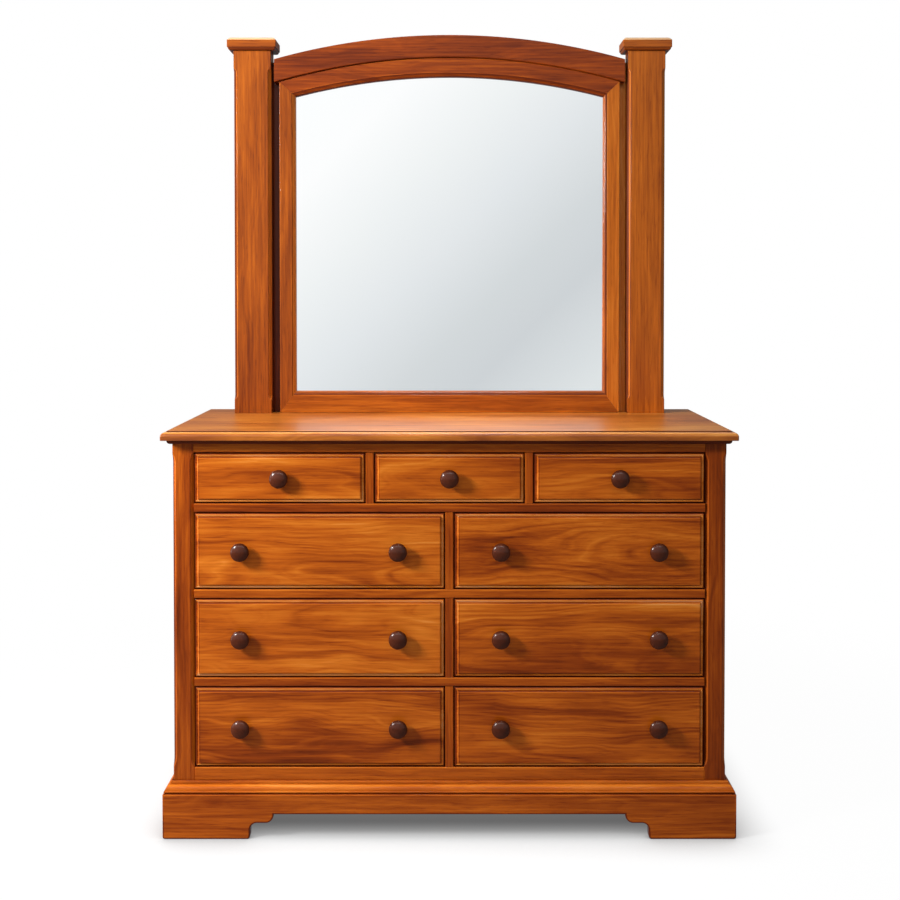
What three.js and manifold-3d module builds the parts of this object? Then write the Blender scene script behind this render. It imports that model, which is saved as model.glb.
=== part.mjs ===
// A nine-drawer dresser with a fixed, arched mirror between two posts.
// Sizes are in millimetres, +X is to the right, +Y to the back and +Z up.
// The origin is on the floor, below the middle of the whole piece.

import * as THREE from "three";
import { mergeVertices } from "three/addons/utils/BufferGeometryUtils.js";
import Module from "manifold-3d";

const wasm = await Module();
wasm.setup();

// Fits: the glue line between seated pieces, and how far a cutter passes the face it cuts
const seat = 0.3;
const overrun = 4;

// Case: sides, corner stiles and back
const caseWidth = 1338;
const caseDepth = 440;
const stileWidth = 51;
const stileDepth = 22;
const sideThickness = 18;
const backThickness = 8;
const caseLap = 48;

// Stopped chamfers on the stiles
const stileChamfer = 8;
const stileTongue = 24;

// Rails, dividers and the boards that carry the drawers
const topRailHeight = 21;
const drawerRailHeight = 21.5;
const bottomRailHeight = 30.5;
const bottomRailLap = 40;
const railLap = 18;
const railChamfer = 3;
const dividerWidth = 20;
const dustBoardThickness = 12;
const guideHeight = 30;

// Drawer openings, from the top row down
const topRowHeight = 123.5;
const upperRowHeight = 187;
const middleRowHeight = 193;
const lowerRowHeight = 197;
const topCentreWidth = 365;

// Drawer fronts: a raised field, a hollow down to a ledge, and a rounded outer edge
const drawerReveal = 2;
const frontThickness = 22;
const frontProud = 4;
const fieldRise = 4;
const hollowWidth = 4;
const ledgeWidth = 3;
const frontRound = 5;

// Drawer boxes
const boxRearGap = 24;
const boxWall = 12;
const boxBottom = 8;
const boxSideClearance = 3;
const boxHeadroom = 14;
const runnerClearance = 0.5;

// Knobs
const knobInset = 114;
const knobBaseRadius = 11;
const knobBaseHeight = 2.5;
const knobNeckRadius = 8.5;
const knobNeckHeight = 5.5;
const knobHeadRadius = 22.5;
const knobUnderRise = 4.5;
const knobDomeRise = 12;
const knobTenonRadius = 4;
const knobTenonLength = 12;

// Dresser top and its moulded edge
const topThickness = 22;
const topOverhangSide = 22;
const topOverhangFront = 30;
const topOverhangBack = 5;
const noseFlat = 10;
const noseReach = 11;
const quirkHeight = 2;
const quirkWidth = 1;

// Bed moulding under the top
const bedFlat = 3;
const bedRoundReach = 8;
const bedRoundRise = 9;
const bedFillet = 2;

// Base moulding on the plinth: a lip, a wide ovolo and a bead
const lipFlat = 3;
const lipRound = 3;
const lipHeight = 8.5;
const ovoloReach = 11;
const ovoloHeight = 11;
const beadReach = 2.5;
const beadHeight = 5;
const baseFillet = 2;

// Plinth boards and their bracket feet
const plinthHeight = 108;
const plinthThickness = 22;
const frontFootWidth = 210;
const sideFootWidth = 110;
const ankleLean = 1;
const ankleHeight = 24;
const lowerCurveRun = 17;
const lowerCurveRise = 15;
const bracketShelfRun = 21;
const upperCurveRun = 19;
const upperCurveRise = 21;

// Mirror posts and their caps
const postWidth = 102.5;
const postDepth = 45;
const postRise = 22.5;
const postSetback = 52;
const postGap = 20.5;
const postChamfer = 9;
const postChamferHead = 45;
const postChamferFoot = 36;
const postTongue = 14;
const tenonWidth = 60;
const tenonDepth = 20;
const mortiseFloor = 10;
const capOverhangSide = 15.5;
const capOverhangFront = 13;
const capHeight = 34.5;
const capTopChamfer = 7;
const capUnderChamfer = 8.5;

// Mirror: glass seen inside the frame, the frame around it and the crown above
const glassWidth = 848;
const glassHeight = 866.5;
const glassArchRadius = 1677;
const glassThickness = 5;
const frameSide = 44;
const frameTop = 51;
const frameBottom = 59;
const frameBevelWidth = 10;
const frameBevelDepth = 9;
const frameLip = 6;
const rebateWidth = 9;
const crownHeight = 61;
const crownThickness = 28;
const crownEndGap = 7.5;
const backingThickness = 12;
const backingDrop = 2;

// Smoothness of round stretches
const roundSteps = 4;
const bracketSteps = 6;
const archSteps = 20;
const knobSides = 14;
const domeSteps = 4;
const tongueShares = [0, 0.2, 0.6, 1];

// Places that follow from the sizes
const topWidth = caseWidth + 2 * topOverhangSide;
const topDepth = caseDepth + topOverhangFront + topOverhangBack;
const topBack = topDepth / 2;
const caseFront = topOverhangFront - topDepth / 2;
const caseBack = caseFront + caseDepth;
const caseSide = caseWidth / 2;
const openingSide = caseSide - stileWidth;
const insideSide = caseSide - sideThickness - seat;
const caseFoot = plinthHeight - caseLap;
const lipReach = lipFlat + lipRound;
const baseTop = plinthHeight + baseFillet + beadHeight + ovoloHeight + lipHeight;
const lowerRowFloor = baseTop + bottomRailHeight;
const middleRowFloor = lowerRowFloor + lowerRowHeight + drawerRailHeight;
const upperRowFloor = middleRowFloor + middleRowHeight + drawerRailHeight;
const topRowFloor = upperRowFloor + upperRowHeight + drawerRailHeight;
const topRowCeiling = topRowFloor + topRowHeight;
const bedFoot = topRowCeiling + topRailHeight;
const topUnderside = bedFoot + bedRoundRise + bedFillet;
const topHeight = topUnderside + topThickness;
const plinthSide = caseSide + plinthThickness;
const plinthFront = caseFront - plinthThickness;
const bracketShelf = ankleHeight + lowerCurveRise;
const apronGap = bracketShelf + upperCurveRise;
const railDepth = stileDepth + railLap;
const boxFront = frontThickness - frontProud + seat;
const boxLength = caseDepth - boxFront - backThickness - boxRearGap;
const postFront = topBack - postSetback - postDepth;
const frameHalfWidth = glassWidth / 2 + frameSide;
const postInside = frameHalfWidth + postGap;
const postCentre = postInside + postWidth / 2;
const tenonLength = topThickness - mortiseFloor;
const backingFront = postDepth - backingThickness;
const frameThickness = frameBevelDepth + frameLip + glassThickness;
const archCentre = frameBottom + glassHeight - glassArchRadius;
const crownRadius = glassArchRadius + frameTop + crownHeight;
const postHeight = archCentre + Math.sqrt(crownRadius * crownRadius - postInside * postInside) + postRise;

// Colours
const caseWood = 0xb4591d;
const darkWood = 0x9c4715;
const innerWood = 0xc99862;
const knobWood = 0x4c2015;
const silver = 0xdfe6e8;

function wood(color) {
  return new THREE.MeshStandardMaterial({ color, roughness: 0.35, metalness: 0 });
}

function rawWood() {
  return new THREE.MeshStandardMaterial({ color: innerWood, roughness: 0.75, metalness: 0 });
}

function mirrorFinish() {
  return new THREE.MeshStandardMaterial({ color: silver, roughness: 0.03, metalness: 1 });
}

// Adds one named piece to a group, at its place in that group
function place(group, name, geometry, material, x, y, z) {
  const mesh = new THREE.Mesh(geometry, material);
  mesh.name = name;
  mesh.position.set(x, y, z);
  group.add(mesh);
  return mesh;
}

// A closed solid from a geometry, for joining and cutting
function toSolid(geometry) {
  const bare = geometry.clone();
  bare.deleteAttribute("normal");
  bare.deleteAttribute("uv");
  const merged = mergeVertices(bare);
  return new wasm.Manifold(new wasm.Mesh({
    numProp: 3,
    vertProperties: new Float32Array(merged.attributes.position.array),
    triVerts: new Uint32Array(merged.index.array),
  }));
}

// The geometry of a joined or cut solid
function toGeometry(solid) {
  const mesh = solid.getMesh();
  const geometry = new THREE.BufferGeometry();
  geometry.setAttribute("position", new THREE.BufferAttribute(mesh.vertProperties, 3));
  geometry.setIndex(new THREE.BufferAttribute(mesh.triVerts, 1));
  const flat = geometry.toNonIndexed();
  flat.computeVertexNormals();
  return flat;
}

function unite(solids) {
  return solids.reduce((joined, solid) => joined.add(solid));
}

// A box between two corners
function block(x0, x1, y0, y1, z0, z1) {
  const box = new THREE.BoxGeometry(x1 - x0, y1 - y0, z1 - z0);
  return box.translate((x0 + x1) / 2, (y0 + y1) / 2, (z0 + z1) / 2);
}

function points(pairs) {
  return pairs.map(([x, y]) => new THREE.Vector2(x, y));
}

// Points of an elliptical arc between two angles, in quarter turns
function arc(x, y, radiusX, radiusY, fromQuarter, toQuarter, steps) {
  const quarter = Math.PI / 2;
  const clockwise = toQuarter < fromQuarter;
  const curve = new THREE.EllipseCurve(
    x, y, radiusX, radiusY, fromQuarter * quarter, toQuarter * quarter, clockwise);
  return curve.getPoints(steps);
}

function extrude(outline, depth) {
  return new THREE.ExtrudeGeometry(new THREE.Shape(outline), { depth, bevelEnabled: false });
}

// A plate that stands facing the front: outline in X and Z, from y = 0 back to its depth
function frontPlate(outline, depth) {
  const upright = new THREE.Matrix4().makeBasis(
    new THREE.Vector3(1, 0, 0), new THREE.Vector3(0, 0, 1), new THREE.Vector3(0, -1, 0));
  return extrude(outline, depth).applyMatrix4(upright).translate(0, depth, 0);
}

// A bar along X: outline in Y and Z, centred on x = 0
function barAlongX(outline, length) {
  const sideways = new THREE.Matrix4().makeBasis(
    new THREE.Vector3(0, 1, 0), new THREE.Vector3(0, 0, 1), new THREE.Vector3(1, 0, 0));
  return extrude(outline, length).applyMatrix4(sideways).translate(-length / 2, 0, 0);
}

function signedVolume(position, index) {
  const a = new THREE.Vector3();
  const b = new THREE.Vector3();
  const c = new THREE.Vector3();
  let sum = 0;
  for (let at = 0; at < index.length; at += 3) {
    a.fromBufferAttribute(position, index[at]);
    b.fromBufferAttribute(position, index[at + 1]);
    c.fromBufferAttribute(position, index[at + 2]);
    sum += a.dot(b.cross(c));
  }
  return sum;
}

// A closed body through matching rings of points; the section is a ring's flat outline for the caps
function loft(rings, section) {
  const count = section.length;
  const position = new THREE.Float32BufferAttribute(
    rings.flat().flatMap((point) => point.toArray()), 3);
  const index = [];
  for (let ring = 1; ring < rings.length; ring += 1) {
    for (let step = 0; step < count; step += 1) {
      const next = (step + 1) % count;
      const low = (ring - 1) * count;
      const high = ring * count;
      index.push(low + step, low + next, high + next);
      index.push(low + step, high + next, high + step);
    }
  }
  const turn = Math.sign(THREE.ShapeUtils.area(section));
  const end = (rings.length - 1) * count;
  for (const face of THREE.ShapeUtils.triangulateShape([...section], [])) {
    const faceTurn = Math.sign(THREE.ShapeUtils.area(face.map((corner) => section[corner])));
    const [a, b, c] = faceTurn === turn ? face : face.toReversed();
    index.push(a, c, b);
    index.push(end + a, end + b, end + c);
  }
  if (signedVolume(position, index) < 0) {
    index.reverse();
  }
  const geometry = new THREE.BufferGeometry();
  geometry.setAttribute("position", position);
  geometry.setIndex(index);
  const flat = geometry.toNonIndexed();
  flat.computeVertexNormals();
  return flat;
}

// A moulding round the front and both sides of the case, mitred at the front corners
// Its profile gives the reach out from the case and the height
function wrapMoulding(profile) {
  const left = profile.map(({ x, y }) => new THREE.Vector3(-caseSide - x, caseBack, y));
  const leftCorner = profile.map(({ x, y }) => new THREE.Vector3(-caseSide - x, caseFront - x, y));
  const rightCorner = profile.map(({ x, y }) => new THREE.Vector3(caseSide + x, caseFront - x, y));
  const right = profile.map(({ x, y }) => new THREE.Vector3(caseSide + x, caseBack, y));
  return loft([left, leftCorner, rightCorner, right], profile);
}

// Cuts a chamfer with curved stops along an upright edge; outX is the side the edge faces
function cutStoppedChamfer(solid, edgeX, outX, leg, tongue, low, high) {
  const depths = tongueShares.map((share) => share * leg);
  const stations = [
    ...tongueShares.map((share, at) => [low + share * tongue, depths[at]]),
    ...tongueShares.map((share, at) => [high - share * tongue, depths[at]]).toReversed(),
  ];
  const section = ([z, depth]) => [
    new THREE.Vector3(edgeX - outX * (depth + overrun), -overrun, z),
    new THREE.Vector3(edgeX + outX * overrun, depth + overrun, z),
    new THREE.Vector3(edgeX + outX * overrun, -overrun, z),
  ];
  const rings = stations.map(section);
  const outline = rings[0].map((point) => new THREE.Vector2(point.x, point.y));
  return solid.subtract(toSolid(loft(rings, outline)));
}

// One half of a bracket foot's outline, from the floor up to the apron's underside
// It starts at the foot's inner edge; towards is 1 when the open space lies at larger values
function bracket(edge, towards) {
  const ankle = edge + towards * ankleLean;
  const shelfStart = ankle + towards * lowerCurveRun;
  const shelfEnd = shelfStart + towards * bracketShelfRun;
  const lower = arc(shelfStart, ankleHeight, towards * lowerCurveRun, lowerCurveRise, 2, 1, bracketSteps);
  const upper = arc(shelfEnd, apronGap, towards * upperCurveRun, upperCurveRise, -1, 0, bracketSteps);
  return [new THREE.Vector2(edge, 0), ...lower, ...upper];
}

// Outline of a plinth board with a bracket foot at each end
function plinthOutline(start, end, footWidth) {
  return [
    new THREE.Vector2(start, plinthHeight),
    new THREE.Vector2(start, 0),
    ...bracket(start + footWidth, 1),
    ...bracket(end - footWidth, -1).toReversed(),
    new THREE.Vector2(end, 0),
    new THREE.Vector2(end, plinthHeight),
  ];
}

function plinthFrontBoard() {
  const depth = plinthThickness - seat;
  const board = toSolid(frontPlate(plinthOutline(-plinthSide, plinthSide, frontFootWidth), depth));
  const mitred = extrude(points([
    [-plinthSide - overrun, -overrun],
    [plinthSide + overrun, -overrun],
    [plinthSide - depth - overrun, depth + overrun],
    [-plinthSide + depth + overrun, depth + overrun],
  ]), plinthHeight + 2 * overrun);
  return toGeometry(board.intersect(toSolid(mitred.translate(0, 0, -overrun))));
}

// A side board of the plinth; side is -1 for the left board and 1 for the right one
function plinthSideBoard(side) {
  const depth = plinthThickness - seat;
  const outline = plinthOutline(plinthFront, caseBack, sideFootWidth);
  const board = barAlongX(outline, depth).translate(side * (plinthSide - depth / 2), 0, 0);
  const outer = side * (plinthSide + overrun);
  const inner = side * (plinthSide - depth - overrun);
  const mitred = extrude(points([
    [outer, plinthFront + seat - overrun],
    [outer, caseBack + overrun],
    [inner, caseBack + overrun],
    [inner, plinthFront + seat + depth + overrun],
  ]), plinthHeight + 2 * overrun);
  return toGeometry(toSolid(board).intersect(toSolid(mitred.translate(0, 0, -overrun))));
}

function baseMoulding() {
  const foot = plinthHeight + seat;
  const lipFoot = baseTop - lipHeight;
  const ovoloFoot = lipFoot - ovoloHeight;
  const beadFace = lipReach + ovoloReach;
  const beadMiddle = ovoloFoot - beadHeight / 2;
  return wrapMoulding([
    ...points([[seat, foot], [beadFace, foot]]),
    ...arc(beadFace, beadMiddle, beadReach, beadHeight / 2, -1, 1, roundSteps),
    ...arc(lipReach, ovoloFoot, ovoloReach, ovoloHeight, 0, 1, roundSteps),
    ...arc(lipFlat, baseTop - lipRound, lipRound, lipRound, 0, 1, roundSteps),
    ...points([[seat, baseTop]]),
  ]);
}

function bedMoulding() {
  const head = topUnderside - seat;
  return wrapMoulding([
    ...points([[seat, bedFoot]]),
    ...arc(bedFlat, bedFoot + bedRoundRise, bedRoundReach, bedRoundRise, -1, 0, roundSteps),
    ...points([[bedFlat + bedRoundReach, head], [seat, head]]),
  ]);
}

// The dresser top: rings from its underside up, moulded on the front and both sides
function dresserTop() {
  const roundHeight = topThickness - noseFlat - quirkHeight;
  const edge = [
    ...points([[0, 0]]),
    ...arc(noseReach, noseFlat, noseReach, roundHeight, 2, 1, roundSteps + 1),
    ...points([[noseReach + quirkWidth, noseFlat + roundHeight], [noseReach + quirkWidth, topThickness]]),
  ];
  const ring = ({ x: inset, y: height }) => {
    const side = topWidth / 2 - inset;
    const front = inset - topDepth / 2;
    return [
      new THREE.Vector3(-side, front, height),
      new THREE.Vector3(side, front, height),
      new THREE.Vector3(side, topBack, height),
      new THREE.Vector3(-side, topBack, height),
    ];
  };
  const rings = edge.map(ring);
  const outline = rings[0].map((point) => new THREE.Vector2(point.x, point.y));
  const mortise = (x) => {
    const halfWidth = tenonWidth / 2 + seat;
    const middle = postFront + postDepth / 2;
    const halfDepth = tenonDepth / 2 + seat;
    return toSolid(block(
      x - halfWidth, x + halfWidth, middle - halfDepth, middle + halfDepth,
      topThickness - tenonLength - seat, topThickness + overrun));
  };
  return toGeometry(toSolid(loft(rings, outline))
    .subtract(mortise(-postCentre))
    .subtract(mortise(postCentre)));
}

function cornerStile() {
  const height = topUnderside - seat - caseFoot;
  const side = stileWidth / 2;
  const low = lowerRowFloor - caseFoot;
  const high = topRowCeiling - caseFoot;
  let solid = toSolid(block(-side, side, 0, stileDepth, 0, height));
  solid = cutStoppedChamfer(solid, -side, -1, stileChamfer, stileTongue, low, high);
  solid = cutStoppedChamfer(solid, side, 1, stileChamfer, stileTongue, low, high);
  return toGeometry(solid);
}

// Outline of a rail in Y and Z, with its front edges eased; its top is at z = 0
function railOutline(depth, height) {
  return points([
    [railChamfer, -height],
    [depth, -height],
    [depth, 0],
    [railChamfer, 0],
    [0, -railChamfer],
    [0, railChamfer - height],
  ]);
}

function dividerPost(x, height) {
  const side = dividerWidth / 2;
  const outline = points([
    [railChamfer - side, 0],
    [side - railChamfer, 0],
    [side, railChamfer],
    [side, stileDepth],
    [-side, stileDepth],
    [-side, railChamfer],
  ]);
  return extrude(outline, height + dustBoardThickness).translate(x, 0, -dustBoardThickness);
}

// One drawer rail with its dust board, drawer guides and the dividers that stand on it
function drawerFrame(row) {
  const back = caseDepth - backThickness - seat;
  const boardFront = stileDepth + seat;
  const side = dividerWidth / 2;
  const under = -dustBoardThickness;
  const solids = [
    barAlongX(railOutline(railDepth, row.railHeight), 2 * (openingSide - seat)),
    block(-insideSide, insideSide, boardFront, back, under, 0),
    block(-insideSide, -openingSide, boardFront, back, under, guideHeight),
    block(openingSide, insideSide, boardFront, back, under, guideHeight),
  ];
  for (const x of row.dividers) {
    solids.push(dividerPost(x, row.height - seat));
    solids.push(block(x - side, x + side, stileDepth / 2, back, under, guideHeight));
  }
  return toGeometry(unite(solids.map(toSolid)));
}

// A drawer front: rings from its back face forward to the raised field, bored for its knobs
function drawerFront(width, height, knobPlaces) {
  const ledge = fieldRise - frontProud;
  const ledgeInset = frontRound + ledgeWidth;
  const edge = [
    ...points([[0, frontThickness - frontProud]]),
    ...arc(frontRound, ledge + frontRound, frontRound, frontRound, 2, 3, roundSteps - 1),
    ...arc(ledgeInset + hollowWidth, ledge, hollowWidth, fieldRise, 2, 3, roundSteps - 1),
  ];
  const ring = ({ x: inset, y: depth }) => {
    const side = width / 2 - inset;
    const rise = height / 2 - inset;
    return [
      new THREE.Vector3(-side, depth, -rise),
      new THREE.Vector3(side, depth, -rise),
      new THREE.Vector3(side, depth, rise),
      new THREE.Vector3(-side, depth, rise),
    ];
  };
  const rings = edge.map(ring);
  const outline = rings[0].map((point) => new THREE.Vector2(point.x, point.z));
  const bore = (x) => {
    const length = knobTenonLength + overrun;
    const cutter = new THREE.CylinderGeometry(
      knobTenonRadius + seat, knobTenonRadius + seat, length, knobSides);
    return toSolid(cutter.translate(x, length / 2 - frontProud - overrun, 0));
  };
  const blank = toSolid(loft(rings, outline));
  return toGeometry(knobPlaces.reduce((solid, x) => solid.subtract(bore(x)), blank));
}

// A drawer box, open at the top, from y = 0 back
function drawerBox(width, height) {
  const side = width / 2;
  const outer = toSolid(block(-side, side, 0, boxLength, 0, height));
  const inner = toSolid(block(
    boxWall - side, side - boxWall, boxWall, boxLength - boxWall, boxBottom, height + overrun));
  return toGeometry(outer.subtract(inner));
}

// A turned knob along +Y, seated at y = 0, with a tenon behind
function knob() {
  const neckHead = knobBaseHeight + knobNeckHeight;
  const rim = neckHead + knobUnderRise;
  const profile = [
    ...points([[0, 2 * seat - knobTenonLength], [knobTenonRadius, 2 * seat - knobTenonLength]]),
    ...points([[knobTenonRadius, 0], [knobBaseRadius, 0], [knobNeckRadius, knobBaseHeight]]),
    ...arc(knobNeckRadius, rim, knobHeadRadius - knobNeckRadius, knobUnderRise, -1, 0, 2),
    ...arc(0, rim, knobHeadRadius, knobDomeRise, 0, 1, domeSteps).slice(1, -1),
    ...points([[0, rim + knobDomeRise]]),
  ];
  return new THREE.LatheGeometry(profile, knobSides);
}

function mirrorPost() {
  const side = postWidth / 2;
  const high = postHeight - postChamferHead;
  let solid = toSolid(block(-side, side, 0, postDepth, 0, postHeight));
  solid = cutStoppedChamfer(solid, -side, -1, postChamfer, postTongue, postChamferFoot, high);
  solid = cutStoppedChamfer(solid, side, 1, postChamfer, postTongue, postChamferFoot, high);
  const middle = postDepth / 2;
  const tenon = block(
    -tenonWidth / 2, tenonWidth / 2, middle - tenonDepth / 2, middle + tenonDepth / 2,
    -tenonLength, postChamferFoot / 2);
  return toGeometry(solid.add(toSolid(tenon)));
}

function postCap() {
  const ring = (inset, height) => {
    const side = postWidth / 2 + capOverhangSide - inset;
    const front = inset - capOverhangFront;
    const back = postDepth + capOverhangFront - inset;
    return [
      new THREE.Vector3(-side, front, height),
      new THREE.Vector3(side, front, height),
      new THREE.Vector3(side, back, height),
      new THREE.Vector3(-side, back, height),
    ];
  };
  const rings = [
    ring(capUnderChamfer, 0),
    ring(0, capUnderChamfer),
    ring(0, capHeight - capTopChamfer),
    ring(capTopChamfer, capHeight),
  ];
  return loft(rings, rings[0].map((point) => new THREE.Vector2(point.x, point.y)));
}

// Points of an arch about the mirror's centre, from the right end to the left one
function archPoints(radius, halfWidth) {
  const reachShare = Math.asin(halfWidth / radius) / (Math.PI / 2);
  return arc(0, archCentre, radius, radius, 1 - reachShare, 1 + reachShare, archSteps);
}

// The glass's seen outline, grown by an amount at the sides, top and bottom
function mirrorOutline(side, top, bottom) {
  const halfWidth = glassWidth / 2 + side;
  return [
    ...points([[-halfWidth, frameBottom - bottom], [halfWidth, frameBottom - bottom]]),
    ...archPoints(glassArchRadius + top, halfWidth),
  ];
}

// The whole mirror frame, before it is parted at its mitres
function mirrorFrame() {
  const outer = mirrorOutline(frameSide, frameTop, frameBottom - seat);
  const body = toSolid(frontPlate(outer, frameThickness));
  const lip = frameThickness - glassThickness - seat;
  const splay = frameBevelWidth * (1 + overrun / frameBevelDepth);
  const stations = [
    [-overrun, splay],
    [frameBevelDepth, 0],
    [lip, 0],
    [lip, rebateWidth],
    [frameThickness + overrun, rebateWidth],
  ];
  const rings = stations.map(([depth, grow]) => mirrorOutline(grow, grow, grow)
    .map((point) => new THREE.Vector3(point.x, depth, point.y)));
  return body.subtract(toSolid(loft(rings, mirrorOutline(0, 0, 0))));
}

// Cuts the frame's four members apart along lines through its inner and outer corners
function frameMembers() {
  const frame = mirrorFrame();
  const halfGlass = glassWidth / 2;
  const topCorner = (radius, x) => archCentre + Math.sqrt(radius * radius - x * x);
  const sightTop = topCorner(glassArchRadius, halfGlass);
  const outerTop = topCorner(glassArchRadius + frameTop, frameHalfWidth);
  const extendShare = 0.5;
  const mitre = (side, sight, outer, shift) => {
    const inner = new THREE.Vector2(side * halfGlass, sight + shift);
    const corner = new THREE.Vector2(side * frameHalfWidth, outer + shift);
    const along = corner.clone().sub(inner).multiplyScalar(extendShare);
    return { inner: inner.clone().sub(along), outer: corner.clone().add(along) };
  };
  const member = (outline) => {
    const wedge = frontPlate(outline, frameThickness + 2 * overrun).translate(0, -overrun, 0);
    return toGeometry(frame.intersect(toSolid(wedge)));
  };
  const stile = (side) => {
    const foot = mitre(side, frameBottom, 0, seat);
    const head = mitre(side, sightTop, outerTop, -seat);
    return member([foot.outer, foot.inner, head.inner, head.outer]);
  };
  const left = { foot: mitre(-1, frameBottom, 0, 0), head: mitre(-1, sightTop, outerTop, 0) };
  const right = { foot: mitre(1, frameBottom, 0, 0), head: mitre(1, sightTop, outerTop, 0) };
  const above = archCentre + crownRadius;
  return {
    leftStile: stile(-1),
    rightStile: stile(1),
    bottomRail: member([left.foot.outer, left.foot.inner, right.foot.inner, right.foot.outer]),
    topRail: member([
      left.head.outer, left.head.inner, right.head.inner, right.head.outer,
      new THREE.Vector2(right.head.outer.x, above),
      new THREE.Vector2(left.head.outer.x, above),
    ]),
  };
}

function crownRail() {
  const halfWidth = postInside - crownEndGap;
  return frontPlate([
    ...archPoints(crownRadius, halfWidth),
    ...archPoints(crownRadius - crownHeight + seat, halfWidth).toReversed(),
  ], crownThickness);
}

function mirrorGlass() {
  const grow = rebateWidth - seat;
  return frontPlate(mirrorOutline(grow, grow, grow), glassThickness - seat);
}

function mirrorBacking() {
  const halfWidth = postInside - seat;
  return frontPlate([
    ...points([[-halfWidth, seat], [halfWidth, seat]]),
    ...archPoints(crownRadius - backingDrop, halfWidth),
  ], backingThickness);
}

// Rows of drawers with their openings, from the top down
const lowerWidth = openingSide - dividerWidth / 2;
const lowerCentre = (openingSide + dividerWidth / 2) / 2;
const topSideWidth = openingSide - topCentreWidth / 2 - dividerWidth;
const topSideCentre = openingSide - topSideWidth / 2;
const topDivider = (topCentreWidth + dividerWidth) / 2;
const pairOfColumns = [
  { name: "left", x: -lowerCentre, width: lowerWidth },
  { name: "right", x: lowerCentre, width: lowerWidth },
];
const threeColumns = [
  { name: "left", x: -topSideCentre, width: topSideWidth },
  { name: "centre", x: 0, width: topCentreWidth },
  { name: "right", x: topSideCentre, width: topSideWidth },
];
const rows = [
  {
    name: "top",
    floor: topRowFloor,
    height: topRowHeight,
    railHeight: drawerRailHeight,
    dividers: [-topDivider, topDivider],
    columns: threeColumns,
    knobPairs: false,
  },
  {
    name: "upper",
    floor: upperRowFloor,
    height: upperRowHeight,
    railHeight: drawerRailHeight,
    dividers: [0],
    columns: pairOfColumns,
    knobPairs: true,
  },
  {
    name: "middle",
    floor: middleRowFloor,
    height: middleRowHeight,
    railHeight: drawerRailHeight,
    dividers: [0],
    columns: pairOfColumns,
    knobPairs: true,
  },
  {
    name: "lower",
    floor: lowerRowFloor,
    height: lowerRowHeight,
    railHeight: bottomRailHeight + bottomRailLap,
    dividers: [0],
    columns: pairOfColumns,
    knobPairs: true,
  },
];

// One drawer in its own group, whose origin is the middle of its opening at the case front
function drawer(row, column) {
  const group = new THREE.Group();
  group.position.set(column.x, caseFront, row.floor + row.height / 2);
  const name = `drawer_${row.name}_${column.name}`;
  const frontWidth = column.width - 2 * drawerReveal;
  const frontHeight = row.height - 2 * drawerReveal;
  const reach = column.width / 2 - knobInset;
  const knobs = row.knobPairs ? [["_left", -reach], ["_right", reach]] : [["", 0]];
  const front = drawerFront(frontWidth, frontHeight, knobs.map(([, x]) => x));
  place(group, `${name}_front`, front, wood(caseWood), 0, 0, 0);
  const boxWidth = column.width - 2 * boxSideClearance;
  const boxHeight = row.height - boxHeadroom;
  const boxFloor = runnerClearance - row.height / 2;
  place(group, `${name}_box`, drawerBox(boxWidth, boxHeight), rawWood(), 0, boxFront, boxFloor);
  for (const [suffix, x] of knobs) {
    const piece = place(group, `${name}_knob${suffix}`, knob(), wood(knobWood), x, -frontProud - seat, 0);
    piece.rotation.x = Math.PI;
  }
  return group;
}

function caseGroup() {
  const group = new THREE.Group();
  const stileX = caseSide - stileWidth / 2;
  place(group, "left_stile", cornerStile(), wood(caseWood), -stileX, caseFront, caseFoot);
  place(group, "right_stile", cornerStile(), wood(caseWood), stileX, caseFront, caseFoot);
  const height = topUnderside - seat - caseFoot;
  const panelDepth = caseDepth - stileDepth - seat;
  const panelMiddle = caseBack - panelDepth / 2;
  const middleZ = caseFoot + height / 2;
  const panelX = caseSide - sideThickness / 2;
  const panel = () => new THREE.BoxGeometry(sideThickness, panelDepth, height);
  place(group, "left_side", panel(), wood(caseWood), -panelX, panelMiddle, middleZ);
  place(group, "right_side", panel(), wood(caseWood), panelX, panelMiddle, middleZ);
  const back = new THREE.BoxGeometry(2 * insideSide, backThickness, height);
  place(group, "back_panel", back, rawWood(), 0, caseBack - backThickness / 2, middleZ);
  const railHeight = topUnderside - seat - topRowCeiling;
  const topRail = barAlongX(railOutline(stileDepth, railHeight), 2 * (openingSide - seat));
  place(group, "top_rail", topRail, wood(caseWood), 0, caseFront, topRowCeiling + railHeight);
  for (const row of rows) {
    place(group, `${row.name}_drawer_frame`, drawerFrame(row), wood(caseWood), 0, caseFront, row.floor);
  }
  place(group, "dresser_top", dresserTop(), wood(caseWood), 0, 0, topUnderside);
  place(group, "bed_moulding", bedMoulding(), wood(darkWood), 0, 0, 0);
  place(group, "base_moulding", baseMoulding(), wood(caseWood), 0, 0, 0);
  place(group, "plinth_front", plinthFrontBoard(), wood(caseWood), 0, plinthFront, 0);
  place(group, "plinth_left", plinthSideBoard(-1), wood(caseWood), 0, 0, 0);
  place(group, "plinth_right", plinthSideBoard(1), wood(caseWood), 0, 0, 0);
  return group;
}

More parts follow.
